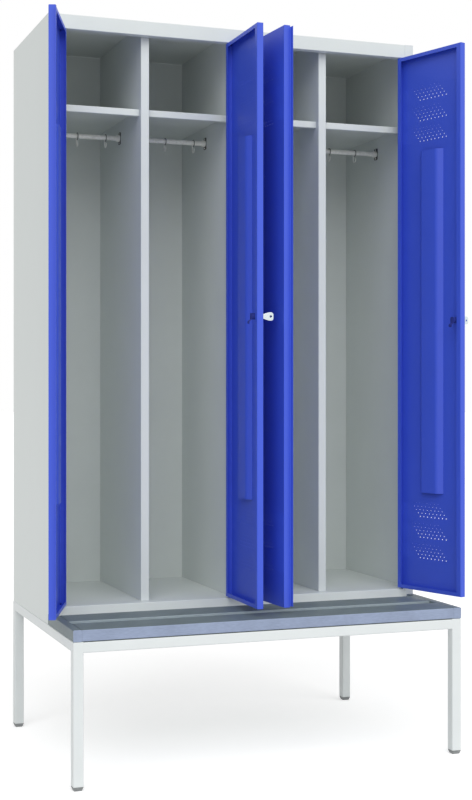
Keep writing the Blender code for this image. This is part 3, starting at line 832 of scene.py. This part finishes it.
class LOCKER_OT_partitions(bpy.types.Operator):
    """Model the centre partition and the divider inside each pair of doors"""

    bl_idname = "locker.partitions"
    bl_label = "Partitions"

    def execute(self, context):
        sizes = context.scene.locker_sizes
        for name in ("centre_partition", "divider_left", "divider_right"):
            low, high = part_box(name)
            path = [(low.x, high.y), (low.x, low.y), (high.x, low.y), (high.x, high.y)]
            made = fold(name + "_folded", path, 2, low.z, high.z, sizes.fold_radius, sizes.sheet)
            if name == "centre_partition":
                cut(made, self.notch(low, high, sizes))
            else:
                cut(made, self.slot(low.y, high.x, sizes))
            finish_piece(made, "cabinet", [name], "body_paint", "body_powder_coat")
        return {"FINISHED"}

    def notch(self, low, high, sizes):
        """The notch in the centre partition for the fascia."""
        roof_low, roof_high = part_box("roof")
        bottom = roof_high.z - sizes.header_height - sizes.seam
        behind = roof_low.y + sizes.header_return + sizes.seam
        start = (low.x - CUT_OUT, low.y - CUT_OUT, bottom)
        return add_box("notch", start, (high.x + CUT_OUT, behind, high.z + CUT_OUT))

    def slot(self, front, wall, sizes):
        """The slot in a divider's right wall that the cam turns into."""
        lock = JOINTS["lock_2_turn"]["pos_m"][2]
        near_end = front + sizes.slot_setback
        low = (wall - CUT_IN, near_end, lock - sizes.slot_drop)
        high = (wall + CUT_OUT, near_end + sizes.slot_width, lock + sizes.slot_rise)
        made = add_box("cam_slot", low, high)
        return round_edges(made, sizes.slot_corner, test=lambda edge: along(edge, 0))


class LOCKER_OT_shelves(bpy.types.Operator):
    """Model the hat shelves"""

    bl_idname = "locker.shelves"
    bl_label = "Hat shelves"

    def execute(self, context):
        sizes = context.scene.locker_sizes
        for number in COMPARTMENTS:
            name = f"hat_shelf_{number}"
            low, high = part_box(name)
            path = [
                (high.y, high.z),
                (low.y, high.z),
                (low.y, low.z),
                (low.y + sizes.shelf_return, low.z),
            ]
            made = fold(name + "_folded", path, 0, low.x, high.x, sizes.fold_radius, sizes.sheet)
            finish_piece(made, "cabinet", [name], "body_paint", "body_powder_coat")
        return {"FINISHED"}


class LOCKER_OT_rails(bpy.types.Operator):
    """Model the hanging rails, their brackets and the screws in them"""

    bl_idname = "locker.rails"
    bl_label = "Hanging rails"

    def execute(self, context):
        sizes = context.scene.locker_sizes
        for number in COMPARTMENTS:
            name = f"hanging_rail_{number}"
            low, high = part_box(name)
            _, y, z = (low + high) / 2
            radius = (high.z - low.z) / 2
            rail = add_bar(name + "_drawn", radius, (low.x, y, z), (high.x, y, z), sides=48)
            edit(rail)
            pick("FACE", lambda face: facing(face, 0, 1) or facing(face, 0, -1))
            bpy.ops.mesh.inset(thickness=sizes.rail_wall)
            bpy.ops.mesh.bridge_edge_loops()
            leave_edit()
            finish_piece(rail, "cabinet", [name], "zinc_plated_steel", "bright_zinc_plating")
        left = self.bracket(sizes)
        right = mirrored(copy_of(left, "bracket_right"))
        for number in COMPARTMENTS:
            for side, model in zip(SIDES, (left, right)):
                name = f"rail_bracket_{number}_{side}"
                low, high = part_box(name)
                wall = low.x if side == "left" else high.x
                place = (wall, (low.y + high.y) / 2, (low.z + high.z) / 2)
                made = copy_at(model, name + "_pressed", place)
                finish_piece(made, "cabinet", [name], "zinc_plated_steel")
        discard(left, right)
        return {"FINISHED"}

    def bracket(self, sizes):
        """A left bracket, with the middle of its wall face at the origin."""
        low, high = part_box("rail_bracket_1_left")
        rail_low, rail_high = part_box("hanging_rail_1")
        reach, half_width, half_height = high.x - low.x, (high.y - low.y) / 2, (high.z - low.z) / 2
        face_x, cup_radius = sizes.bracket_plate, sizes.cup_radius
        bore = (rail_high.z - rail_low.z) / 2 + sizes.seam
        plate = add_box("plate", (0, -half_width, -half_height), (face_x, half_width, half_height))
        edit(plate)
        pick("EDGE", lambda edge: along(edge, 0))
        bevel(sizes.bracket_corner, steps=4)
        pick("FACE", lambda face: facing(face, 0, 1))
        bpy.ops.mesh.inset(thickness=RIM)
        leave_edit()
        cup = add_bar("cup", cup_radius, (face_x / 2, 0, 0), (reach, 0, 0))
        edit(cup)
        pick("FACE", lambda face: facing(face, 0, 1))
        bpy.ops.mesh.inset(thickness=cup_radius - bore)
        extrude((face_x - reach, 0, 0))
        wall = (cup_radius + bore) / 2
        pick(
            "EDGE",
            lambda edge: at_level(edge, 0, reach)
            and all(math.hypot(*vert.co.yz) > wall for vert in edge.verts),
        )
        bevel(sizes.cup_edge, steps=2)
        leave_edit()
        heights = [way * (cup_radius + half_height) / 2 for way in (-1, 1)]
        screws = [self.screw(face_x, height, sizes) for height in heights]
        made = join("bracket_left", plate, cup, *screws)
        corners = made.data.vertices
        # The plate's faces take the nearly black finish as painted shade; the cup and the screws
        # keep the bright plating.
        put_on(
            made,
            "bright_zinc_plating",
            "phosphated_steel",
            choose=lambda face: max(corners[at].co.x for at in face.vertices) < face_x + TOLERANCE,
        )
        return made

    def screw(self, x, z, sizes):
        """A pan head with a cross recess, facing along X from a plate."""
        top = x + sizes.screw_height
        start = (x - sizes.screw_sink, 0, z)
        head = add_bar("screw", sizes.screw_radius, start, (top, 0, z), sides=20)
        round_edges(head, sizes.screw_edge, test=lambda edge: at_level(edge, 0, top))
        arm, half = sizes.recess_length / 2, sizes.recess_width / 2
        for y_reach, z_reach in ((arm, half), (half, arm)):
            low = (top - sizes.recess_depth, -y_reach, z - z_reach)
            cut(head, add_box("recess", low, (top + CUT_OUT, y_reach, z + z_reach)))
        return head


class LOCKER_OT_hooks(bpy.types.Operator):
    """Model the sliding coat hooks"""

    bl_idname = "locker.hooks"
    bl_label = "Coat hooks"

    def execute(self, context):
        hook = self.wire(context.scene.locker_sizes)
        low = min(vert.co.z for vert in hook.data.vertices)
        for number in COMPARTMENTS:
            for side in SIDES:
                name = f"coat_hook_{number}_{side}"
                node_low, node_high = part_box(name)
                rail_low, rail_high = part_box(f"hanging_rail_{number}")
                x, y = (node_low.x + node_high.x) / 2, (rail_low.y + rail_high.y) / 2
                made = copy_at(hook, name + "_bent", (x, y, node_low.z - low))
                finish_piece(made, name, [name], "zinc_plated_steel")
        discard(hook)
        return {"FINISHED"}

    def wire(self, sizes):
        """The bent wire round a rail along X through the origin: ring, stem, bend and tip."""
        wire, ring, bend, tip = sizes.wire_radius, sizes.hook_ring, sizes.hook_bend, sizes.hook_tip
        middle = -sizes.hook_sag
        # The ring starts at this angle from the rail's rear, and goes round back to it.
        start = math.radians(285)
        bpy.ops.object.select_all(action="DESELECT")
        bpy.ops.mesh.primitive_circle_add(vertices=12, radius=wire, fill_type="NGON")
        made = name_new("hook")
        made.location = (0, ring * math.cos(start), middle + ring * math.sin(start))
        made.rotation_euler = (start, 0, 0)
        settle(made)
        edit(made)
        bpy.ops.mesh.select_all(action="SELECT")
        bpy.ops.mesh.spin(steps=28, angle=start, center=(0, 0, middle), axis=(1, 0, 0))
        bend_height = wire + bend - sizes.hook_reach
        extrude((0, 0, bend_height - middle))
        centre = (0, ring - bend, bend_height)
        bpy.ops.mesh.spin(steps=14, angle=math.pi, center=centre, axis=(1, 0, 0))
        extrude((0, 0, tip - wire / 2))
        # The tip's end narrows to half the wire.
        extrude((0, 0, wire / 2))
        bpy.ops.transform.resize(value=(0.5, 0.5, 1))
        bpy.ops.mesh.select_all(action="SELECT")
        bpy.ops.mesh.remove_doubles(threshold=TOLERANCE)
        bpy.ops.mesh.normals_make_consistent(inside=False)
        leave_edit()

        def on_ring(face):
            return math.hypot(face.center.y, face.center.z - middle) < ring + wire

        # The ring's faces take the grey finish as painted shade round the rail; the rest of the
        # wire keeps the bright plating.
        put_on(made, "bright_zinc_plating", "plastic_sleeve", choose=on_ring)
        return made


class LOCKER_OT_pins(bpy.types.Operator):
    """Model the hinge pins with the collars that carry the doors"""

    bl_idname = "locker.pins"
    bl_label = "Hinge pins"

    def execute(self, context):
        sizes = context.scene.locker_sizes
        reach = sizes.pin_reach
        for number in DOORS:
            for end in ("bottom", "top"):
                name = f"hinge_pin_{number}_{end}"
                low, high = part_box(name)
                middle = (low + high) / 2
                parts = []
                for radius, bottom, top in (
                    ((high.x - low.x) / 2, low.z + reach, high.z - reach),
                    (sizes.pin_diameter / 2, low.z, high.z),
                ):
                    start, stop = (middle.x, middle.y, bottom), (middle.x, middle.y, top)
                    part = add_bar("turned", radius, start, stop, sides=24)
                    round_edges(part, sizes.pin_edge, 2, lambda edge: not along(edge, 2))
                    parts.append(part)
                made = join(name + "_turned", *parts)
                # The pins take the dark blue finish: painted shade with a painted reflection of the
                # blue doors.
                finish_piece(made, "cabinet", [name], "zinc_plated_steel", "blued_steel")
        return {"FINISHED"}


def hand_of(number):
    """1 for a door hung on its left edge, and -1 for one hung on its right edge."""
    low, high = JOINTS[f"door_{number}_hinge"]["range_deg"]
    return 1 if high > -low else -1


def opening_of(number):
    """How far a door stands open, in radians. Its joint ends where it is shut."""
    shut = max(JOINTS[f"door_{number}_hinge"]["range_deg"], key=abs)
    return math.radians(abs(shut))


def door_place(number):
    """From a door's own frame, X from its pin along its width and Y inwards, to the row's."""
    pin = JOINTS[f"door_{number}_hinge"]["pos_m"]
    turn = Matrix.Rotation(-hand_of(number) * opening_of(number), 4, "Z")
    return Matrix.Translation((pin[0], pin[1], 0)) @ turn


def door_box(node_name, number):
    """The corners of a node in its door's own frame, with X from the pin to the free edge."""
    back = Matrix.Scale(hand_of(number), 4, (1, 0, 0)) @ door_place(number).inverted()
    places = [back @ vert.co for vert in frame["nodes"][node_name].data.vertices]
    low = Vector([round(min(place[axis] for place in places), 5) for axis in range(3)])
    high = Vector([round(max(place[axis] for place in places), 5) for axis in range(3)])
    return low, high


def lock_place():
    """Where the lock of a locking door lies: its distance from the pins and its height."""
    low, high = door_box("lock_wing_2", 2)
    return (low.x + high.x) / 2, (low.z + high.z) / 2


def hang(made, number):
    """Puts a piece modelled in a door's own frame at its place."""
    made.matrix_world = door_place(number)
    return settle(made)


class LOCKER_OT_doors(bpy.types.Operator):
    """Model the folded door pans with their vents"""

    bl_idname = "locker.doors"
    bl_label = "Doors"

    def execute(self, context):
        sizes = context.scene.locker_sizes
        for numbers in ((1, 3), (2, 4)):
            pan = self.pan(hand_of(numbers[0]), sizes)
            for number in numbers:
                name = f"door_{number}"
                made = hang(copy_of(pan, name + "_pan"), number)
                finish_piece(made, name, [name], "door_paint", "door_powder_coat")
            discard(pan)
        return {"FINISHED"}

    def pan(self, hand, sizes):
        """A door's pan in the door's own frame. Only a left-hung one has the stop lip, and only a
        right-hung one a lip at its free edge and the holes for a lock."""
        low, high = door_box("door_2", 2)
        sheet, end_lip = sizes.sheet, sizes.end_lip
        pan = add_box("pan", low, high)
        edit(pan)
        pick("FACE", lambda face: facing(face, 1, 1))
        bpy.ops.mesh.inset(thickness=end_lip)
        bpy.ops.mesh.delete(type="FACE")
        free_lip = sheet if hand == 1 else sizes.free_lip
        for place, push in (
            (low.x + end_lip, sizes.hinge_lip - end_lip),
            (high.x - end_lip, end_lip - free_lip),
        ):
            pick("EDGE", lambda edge: along(edge, 2) and at_level(edge, 0, place))
            bpy.ops.transform.translate(value=(push, 0, 0))
        if hand == 1:
            inner = high.x - sheet
            pick("FACE", lambda face: facing(face, 1, 1) and face.calc_center_median().x > inner)
            bpy.ops.mesh.delete(type="ONLY_FACE")
        pick("EDGE", lambda edge: self.is_fold(edge, low, high, hand))
        bevel(sizes.fold_radius)
        self.score(sizes)
        leave_edit()
        if hand == -1:
            self.mirror_sheet(pan)
        thicken(pan, sheet)
        edit(pan)
        for level in (low.y, low.y + sheet):
            pick("VERT", lambda vert: abs(vert.co.y - level) < TOLERANCE)
            bpy.ops.transform.resize(value=(1, 0, 1), center_override=(0, level, 0))
        leave_edit()
        self.pierce(pan, hand, low, high, sizes)
        if hand == 1:
            end = door_box("door_1", 1)[1]
            stop = end.y - sheet
            path = [(high.x, high.y), (high.x, stop), (end.x, stop)]
            ends = (low.z + sizes.stop_cut, high.z - sizes.stop_cut)
            pan = join("pan", pan, fold("stop", path, 2, *ends, sizes.stop_fold, sheet))
        return pan

    def is_fold(self, edge, low, high, hand):
        """Whether an edge is one of the pan's folds, round its skin or round its lips."""
        border = at_level(edge, 0, low.x, high.x) or at_level(edge, 2, low.z, high.z)
        if hand == 1 and at_level(edge, 0, high.x):
            border = not at_level(edge, 1, high.y)
        return border and at_level(edge, 1, low.y, high.y)

    def mirror_sheet(self, pan):
        """Mirrors an open sheet and turns its faces outwards again."""
        pan.scale.x = -1
        settle(pan)
        edit(pan)
        bpy.ops.mesh.select_all(action="SELECT")
        bpy.ops.mesh.flip_normals()
        leave_edit()

    def pierce(self, pan, hand, low, high, sizes):
        """Cuts the vents and the pins' holes, and for a lock its hole and the lip's notch."""
        cutters = [self.vents(hand, low, sizes)]
        for z in (low.z, high.z):
            start, end = (0, 0, z - CUT_IN), (0, 0, z + CUT_IN)
            cutters.append(add_bar("pin_hole", sizes.pin_hole / 2, start, end, sides=16))
        if hand == -1:
            x, z = lock_place()
            for radius, front, behind, sides in (
                (sizes.lock_hole, low.y - CUT_OUT, low.y + CUT_IN, 24),
                (sizes.lock_notch, high.y - CUT_IN, high.y + CUT_OUT, 32),
            ):
                cutters.append(add_bar("lock_hole", radius, (-x, front, z), (-x, behind, z), sides))
        cut(pan, *cutters)

    def vent_heights(self, sizes):
        """The heights of the lowest rows of a door's six vents."""
        low, high = door_box("door_2", 2)
        half = sizes.vent_rise * (sizes.vent_rows - 1) / 2
        offsets = [sizes.vent_offset + step * sizes.vent_spacing for step in range(VENTS_AT_END)]
        middle = (low.z + high.z) / 2
        return [middle + way * offset - half for way in (-1, 1) for offset in offsets]

    def score(self, sizes):
        """In edit mode, splits the door's face so that each vent hole lies in a small face."""
        rise = sizes.vent_rise
        for bottom in self.vent_heights(sizes):
            levels = [bottom + (row - 0.5) * rise for row in range(sizes.vent_rows + 1)]
            for level in levels:
                self.split((0, 0, level), (0, 0, 1), -math.inf, math.inf)
            for column in range(sizes.vent_columns + 1):
                x = sizes.vent_start + (column - 0.5) * sizes.vent_pitch
                self.split((x, 0, bottom), (rise, 0, sizes.vent_lean), levels[0], levels[-1])

    def split(self, place, way, bottom, top):
        """Splits the door's face between two heights, across a way and through a place."""
        pick(
            "FACE",
            lambda face: facing(face, 1, -1) and bottom < face.calc_center_median().z < top,
        )
        bpy.ops.mesh.bisect(plane_co=place, plane_no=way)

    def vents(self, hand, low, sizes):
        """One cutter with all holes of a door's six vents."""
        front, behind = low.y - 2 * sizes.sheet, low.y + 3 * sizes.sheet
        rows = []
        for row in range(sizes.vent_rows):
            radius = (sizes.vent_hole - row * sizes.vent_fade) / 2
            x, z = sizes.vent_start - row * sizes.vent_lean, row * sizes.vent_rise
            hole = add_bar("hole", radius, (x, front, z), (x, behind, z), sides=10)
            repeat(hole, sizes.vent_columns, (sizes.vent_pitch, 0, 0))
            rows.append(hole)
        group = join("vent", *rows)
        parts = [copy_at(group, "vent", (0, 0, bottom)) for bottom in self.vent_heights(sizes)]
        discard(group)
        made = join("vents", *parts)
        return made if hand == 1 else mirrored(made)


class LOCKER_OT_stiffeners(bpy.types.Operator):
    """Model the stiffening channels inside the doors"""

    bl_idname = "locker.stiffeners"
    bl_label = "Door stiffeners"

    def execute(self, context):
        sizes = context.scene.locker_sizes
        low, high = door_box("door_stiffener_1", 1)
        path = [
            (high.x + sizes.stiffener_skirt, low.y),
            (high.x - sizes.stiffener_crest, high.y),
            (low.x + sizes.stiffener_slant, high.y),
            (low.x, low.y),
        ]
        model = fold("stiffener", path, 2, low.z, high.z, sizes.stiffener_fold, sizes.sheet)
        for number in DOORS:
            name = f"door_stiffener_{number}"
            made = copy_of(model, name + "_folded")
            if hand_of(number) == -1:
                mirrored(made)
            hang(made, number)
            finish_piece(made, f"door_{number}", [name], "door_paint", "door_powder_coat")
        discard(model)
        return {"FINISHED"}


class LOCKER_OT_locks(bpy.types.Operator):
    """Model the turning wings with their padlock holes, and the barrels with their cams"""

    bl_idname = "locker.locks"
    bl_label = "Locks"

    def execute(self, context):
        sizes = context.scene.locker_sizes
        wing, cam = self.wing(sizes), self.cam(sizes)
        for number in LOCKED_DOORS:
            for model, name in ((wing, f"lock_wing_{number}"), (cam, f"lock_cam_{number}")):
                made = hang(mirrored(copy_of(model, name + "_cast")), number)
                finish_piece(made, f"lock_{number}", [name], "lock_chrome")
        discard(wing, cam)
        return {"FINISHED"}

    def wing(self, sizes):
        """Rose, spindle and wing in a left-hung door's frame."""
        low, high = door_box("lock_wing_2", 2)
        x, z = lock_place()
        skin = door_box("door_2", 2)[0].y - sizes.seam
        rose_face = skin - sizes.rose_height
        rose = add_bar("rose", sizes.rose_radius, (x, rose_face, z), (x, skin, z), sides=48)
        round_edges(rose, sizes.rose_edge, 4, lambda edge: at_level(edge, 1, rose_face))
        start = (x, (rose_face + skin) / 2, z)
        spindle = add_bar("spindle", sizes.spindle_radius, start, (x, high.y, z), sides=32)
        round_edges(spindle, sizes.spindle_edge, 2, lambda edge: at_level(edge, 1, high.y))
        made = join("wing", rose, spindle, self.blade(x, low, high, skin - sizes.wing_root, sizes))
        inside = skin + TOLERANCE
        # Faces inside the door, the spindle's, take the dark blue finish as painted shade with a
        # painted reflection of the blue doors; the rose and the wing keep the chrome.
        put_on(made, "chromed_casting", "blued_steel", choose=lambda face: face.center.y > inside)
        return made

    def blade(self, x, low, high, root, sizes):
        """The wing itself, straight below its outer edge and then narrowing to its root."""
        straight_share, root_share = 0.4, 0.4
        z = (low.z + high.z) / 2
        half, half_length = sizes.wing_half, (high.z - low.z) / 2 - sizes.wing_inset
        start = (x - half, low.y, z - half_length)
        blade = add_box("blade", start, (x + half, root, z + half_length))
        edit(blade)
        flare = low.y + (root - low.y) * straight_share
        bpy.ops.mesh.select_all(action="SELECT")
        bpy.ops.mesh.bisect(plane_co=(0, flare, 0), plane_no=(0, 1, 0))
        pick("FACE", lambda face: facing(face, 1, 1))
        bpy.ops.transform.resize(value=(1, 1, root_share), center_override=(x, root, z))
        for level, radius, steps in (
            (low.y, sizes.wing_corner, 8),
            (flare, sizes.wing_waist, 4),
        ):
            pick("EDGE", lambda edge: along(edge, 0) and at_level(edge, 1, level))
            bevel(radius, steps)
        leave_edit()
        y = low.y + sizes.padlock_place
        ends = ((x - CUT_OUT, y, z), (x + CUT_OUT, y, z))
        cut(blade, add_bar("hole", sizes.padlock_radius, *ends, sides=32))
        # The rims of the blade and of its hole turn by more than this, and the curves by less.
        rim_turn = 1.2
        return round_edges(
            blade,
            sizes.wing_edge,
            test=lambda edge: edge.is_manifold and edge.calc_face_angle(0) > rim_turn,
        )

    def cam(self, sizes):
        """Barrel and cranked arm in a left-hung door's frame."""
        low, high = door_box("lock_cam_2", 2)
        x, z = lock_place()
        arm_face = high.y - sizes.cam_sheet
        head = door_box("lock_wing_2", 2)[1].y - sizes.cam_sheet
        path = [
            (head, high.z),
            (head, z - sizes.barrel_radius),
            (arm_face, low.z + sizes.cam_tongue),
            (arm_face, low.z),
        ]
        width = (x - sizes.cam_half, x + sizes.cam_half)
        arm = fold("arm", path, 0, *width, sizes.cam_fold, sizes.cam_sheet)
        round_edges(
            arm,
            sizes.cam_corner,
            steps=4,
            test=lambda edge: along(edge, 1) and at_level(edge, 2, low.z, high.z),
        )
        skin = door_box("door_2", 2)[0].y + sizes.sheet + sizes.seam
        barrel = add_bar("barrel", sizes.barrel_radius, (x, skin, z), (x, head, z), sides=40)
        round_edges(barrel, sizes.barrel_edge, 2, lambda edge: not along(edge, 1))
        ends = ((x, skin - CUT_OUT, z), (x, high.y + CUT_OUT, z))
        for part in (barrel, arm):
            cut(part, add_bar("bore", sizes.lock_hole, *ends, sides=32))
        made = join("cam", barrel, arm)
        # The barrel and the cam take the dark blue finish: painted shade with a painted reflection
        # of the blue doors.
        made.data.materials.append(bpy.data.materials["blued_steel"])
        return made


class LOCKER_OT_stage(bpy.types.Operator):
    """Set the pale floor, the soft studio light and the camera of the photograph"""

    bl_idname = "locker.stage"
    bl_label = "Stage"

    def execute(self, context):
        bpy.ops.object.select_all(action="DESELECT")
        bpy.ops.mesh.primitive_circle_add(
            vertices=96, radius=FLOOR_RADIUS, fill_type="NGON", location=(0, 0, 0)
        )
        floor = name_new("studio_floor")
        floor.data.materials.append(self.floor_finish())
        self.world(context)
        for name, (heading, height, strength, width) in LAMPS.items():
            self.lamp(name, heading, height, strength, width)
        context.scene.view_settings.view_transform = "Standard"
        camera = bpy.data.objects.new("camera", bpy.data.cameras.new("camera"))
        context.scene.collection.objects.link(camera)
        camera.location = CAMERA_PLACE
        camera.rotation_euler = (math.pi / 2, 0, CAMERA_HEADING)
        camera.data.lens = CAMERA_LENS
        camera.data.shift_x, camera.data.shift_y = CAMERA_SHIFT
        context.scene.camera = camera
        return {"FINISHED"}

    def seen_plainly(self, tree):
        """1 for rays from the camera, off a glossy surface or through glass, and 0 for the light
        on the object."""
        path = node(tree, "LightPath")
        seen = path.outputs["Is Camera Ray"]
        for ray in ("Is Glossy Ray", "Is Transmission Ray"):
            either = node(tree, "Math", {0: seen, 1: path.outputs[ray]}, operation="MAXIMUM")
            seen = either.outputs["Value"]
        return seen

    def floor_finish(self):
        """White floor that still takes the object's shadow."""
        made = bpy.data.materials.new("studio_floor")
        made.use_nodes = True
        tree = made.node_tree
        tree.nodes.remove(tree.nodes["Principled BSDF"])
        matt = node(tree, "BsdfDiffuse", {"Color": (FLOOR_SHADE, FLOOR_SHADE, FLOOR_SHADE, 1)})
        glow = node(tree, "Emission", {"Color": (1, 1, 1, 1), "Strength": FLOOR_GLOW})
        bright = node(tree, "MixShader", {0: self.seen_plainly(tree), 2: glow.outputs["Emission"]})
        both = node(tree, "AddShader", {0: matt.outputs["BSDF"], 1: bright.outputs["Shader"]})
        output = tree.nodes["Material Output"]
        tree.links.new(both.outputs["Shader"], output.inputs["Surface"])
        return made

    def world(self, context):
        """A sky that is white where it is seen, and lights the object less."""
        world = bpy.data.worlds.new("studio")
        context.scene.world = world
        world.use_nodes = True
        tree = world.node_tree
        plain = tree.nodes["Background"]
        plain.inputs["Color"].default_value = (1, 1, 1, 1)
        plain.inputs["Strength"].default_value = 1
        soft = node(tree, "Background", {"Color": (1, 1, 1, 1), "Strength": SKY_LIGHT})
        shaders = {1: soft.outputs["Background"], 2: plain.outputs["Background"]}
        chosen = node(tree, "MixShader", {0: self.seen_plainly(tree), **shaders})
        tree.links.new(chosen.outputs["Shader"], tree.nodes["World Output"].inputs["Surface"])

    def lamp(self, name, heading, height, strength, width):
        """A soft sun. Its heading is seen from above, 0 for a light in front of the doors and 90
        for one at their right."""
        lamp = bpy.data.objects.new(name, bpy.data.lights.new(name, "SUN"))
        bpy.context.scene.collection.objects.link(lamp)
        lamp.data.energy = strength
        lamp.data.angle = math.radians(width)
        lamp.rotation_euler = (math.radians(90 - height), 0, math.radians(heading))


class LOCKER_PT_pieces(bpy.types.Panel):
    """Lists the pieces, sizes and colours of the locker"""

    bl_idname = "LOCKER_PT_pieces"
    bl_label = "Locker with bench"
    bl_space_type = "VIEW_3D"
    bl_region_type = "UI"
    bl_category = "Locker"

    def draw(self, context):
        for operator in OPERATORS:
            self.layout.operator(operator.bl_idname)
        for group in (context.scene.locker_sizes, context.scene.locker_colours):
            box = self.layout.box()
            for name in group.__annotations__:
                box.prop(group, name)


OPERATORS = (
    LOCKER_OT_finishes,
    LOCKER_OT_bench_frame,
    LOCKER_OT_glides,
    LOCKER_OT_slats,
    LOCKER_OT_body,
    LOCKER_OT_partitions,
    LOCKER_OT_shelves,
    LOCKER_OT_rails,
    LOCKER_OT_hooks,
    LOCKER_OT_pins,
    LOCKER_OT_doors,
    LOCKER_OT_stiffeners,
    LOCKER_OT_locks,
    LOCKER_OT_stage,
)
CLASSES = (LockerSizes, LockerColours, *OPERATORS, LOCKER_PT_pieces)


def register():
    for each in CLASSES:
        bpy.utils.register_class(each)
    bpy.types.Scene.locker_sizes = PointerProperty(type=LockerSizes)
    bpy.types.Scene.locker_colours = PointerProperty(type=LockerColours)


def unregister():
    del bpy.types.Scene.locker_colours
    del bpy.types.Scene.locker_sizes
    for each in reversed(CLASSES):
        bpy.utils.unregister_class(each)


def main():
    register()
    for operator in OPERATORS:
        group, name = operator.bl_idname.split(".")
        getattr(getattr(bpy.ops, group), name)()


if __name__ == "__main__":
    main()
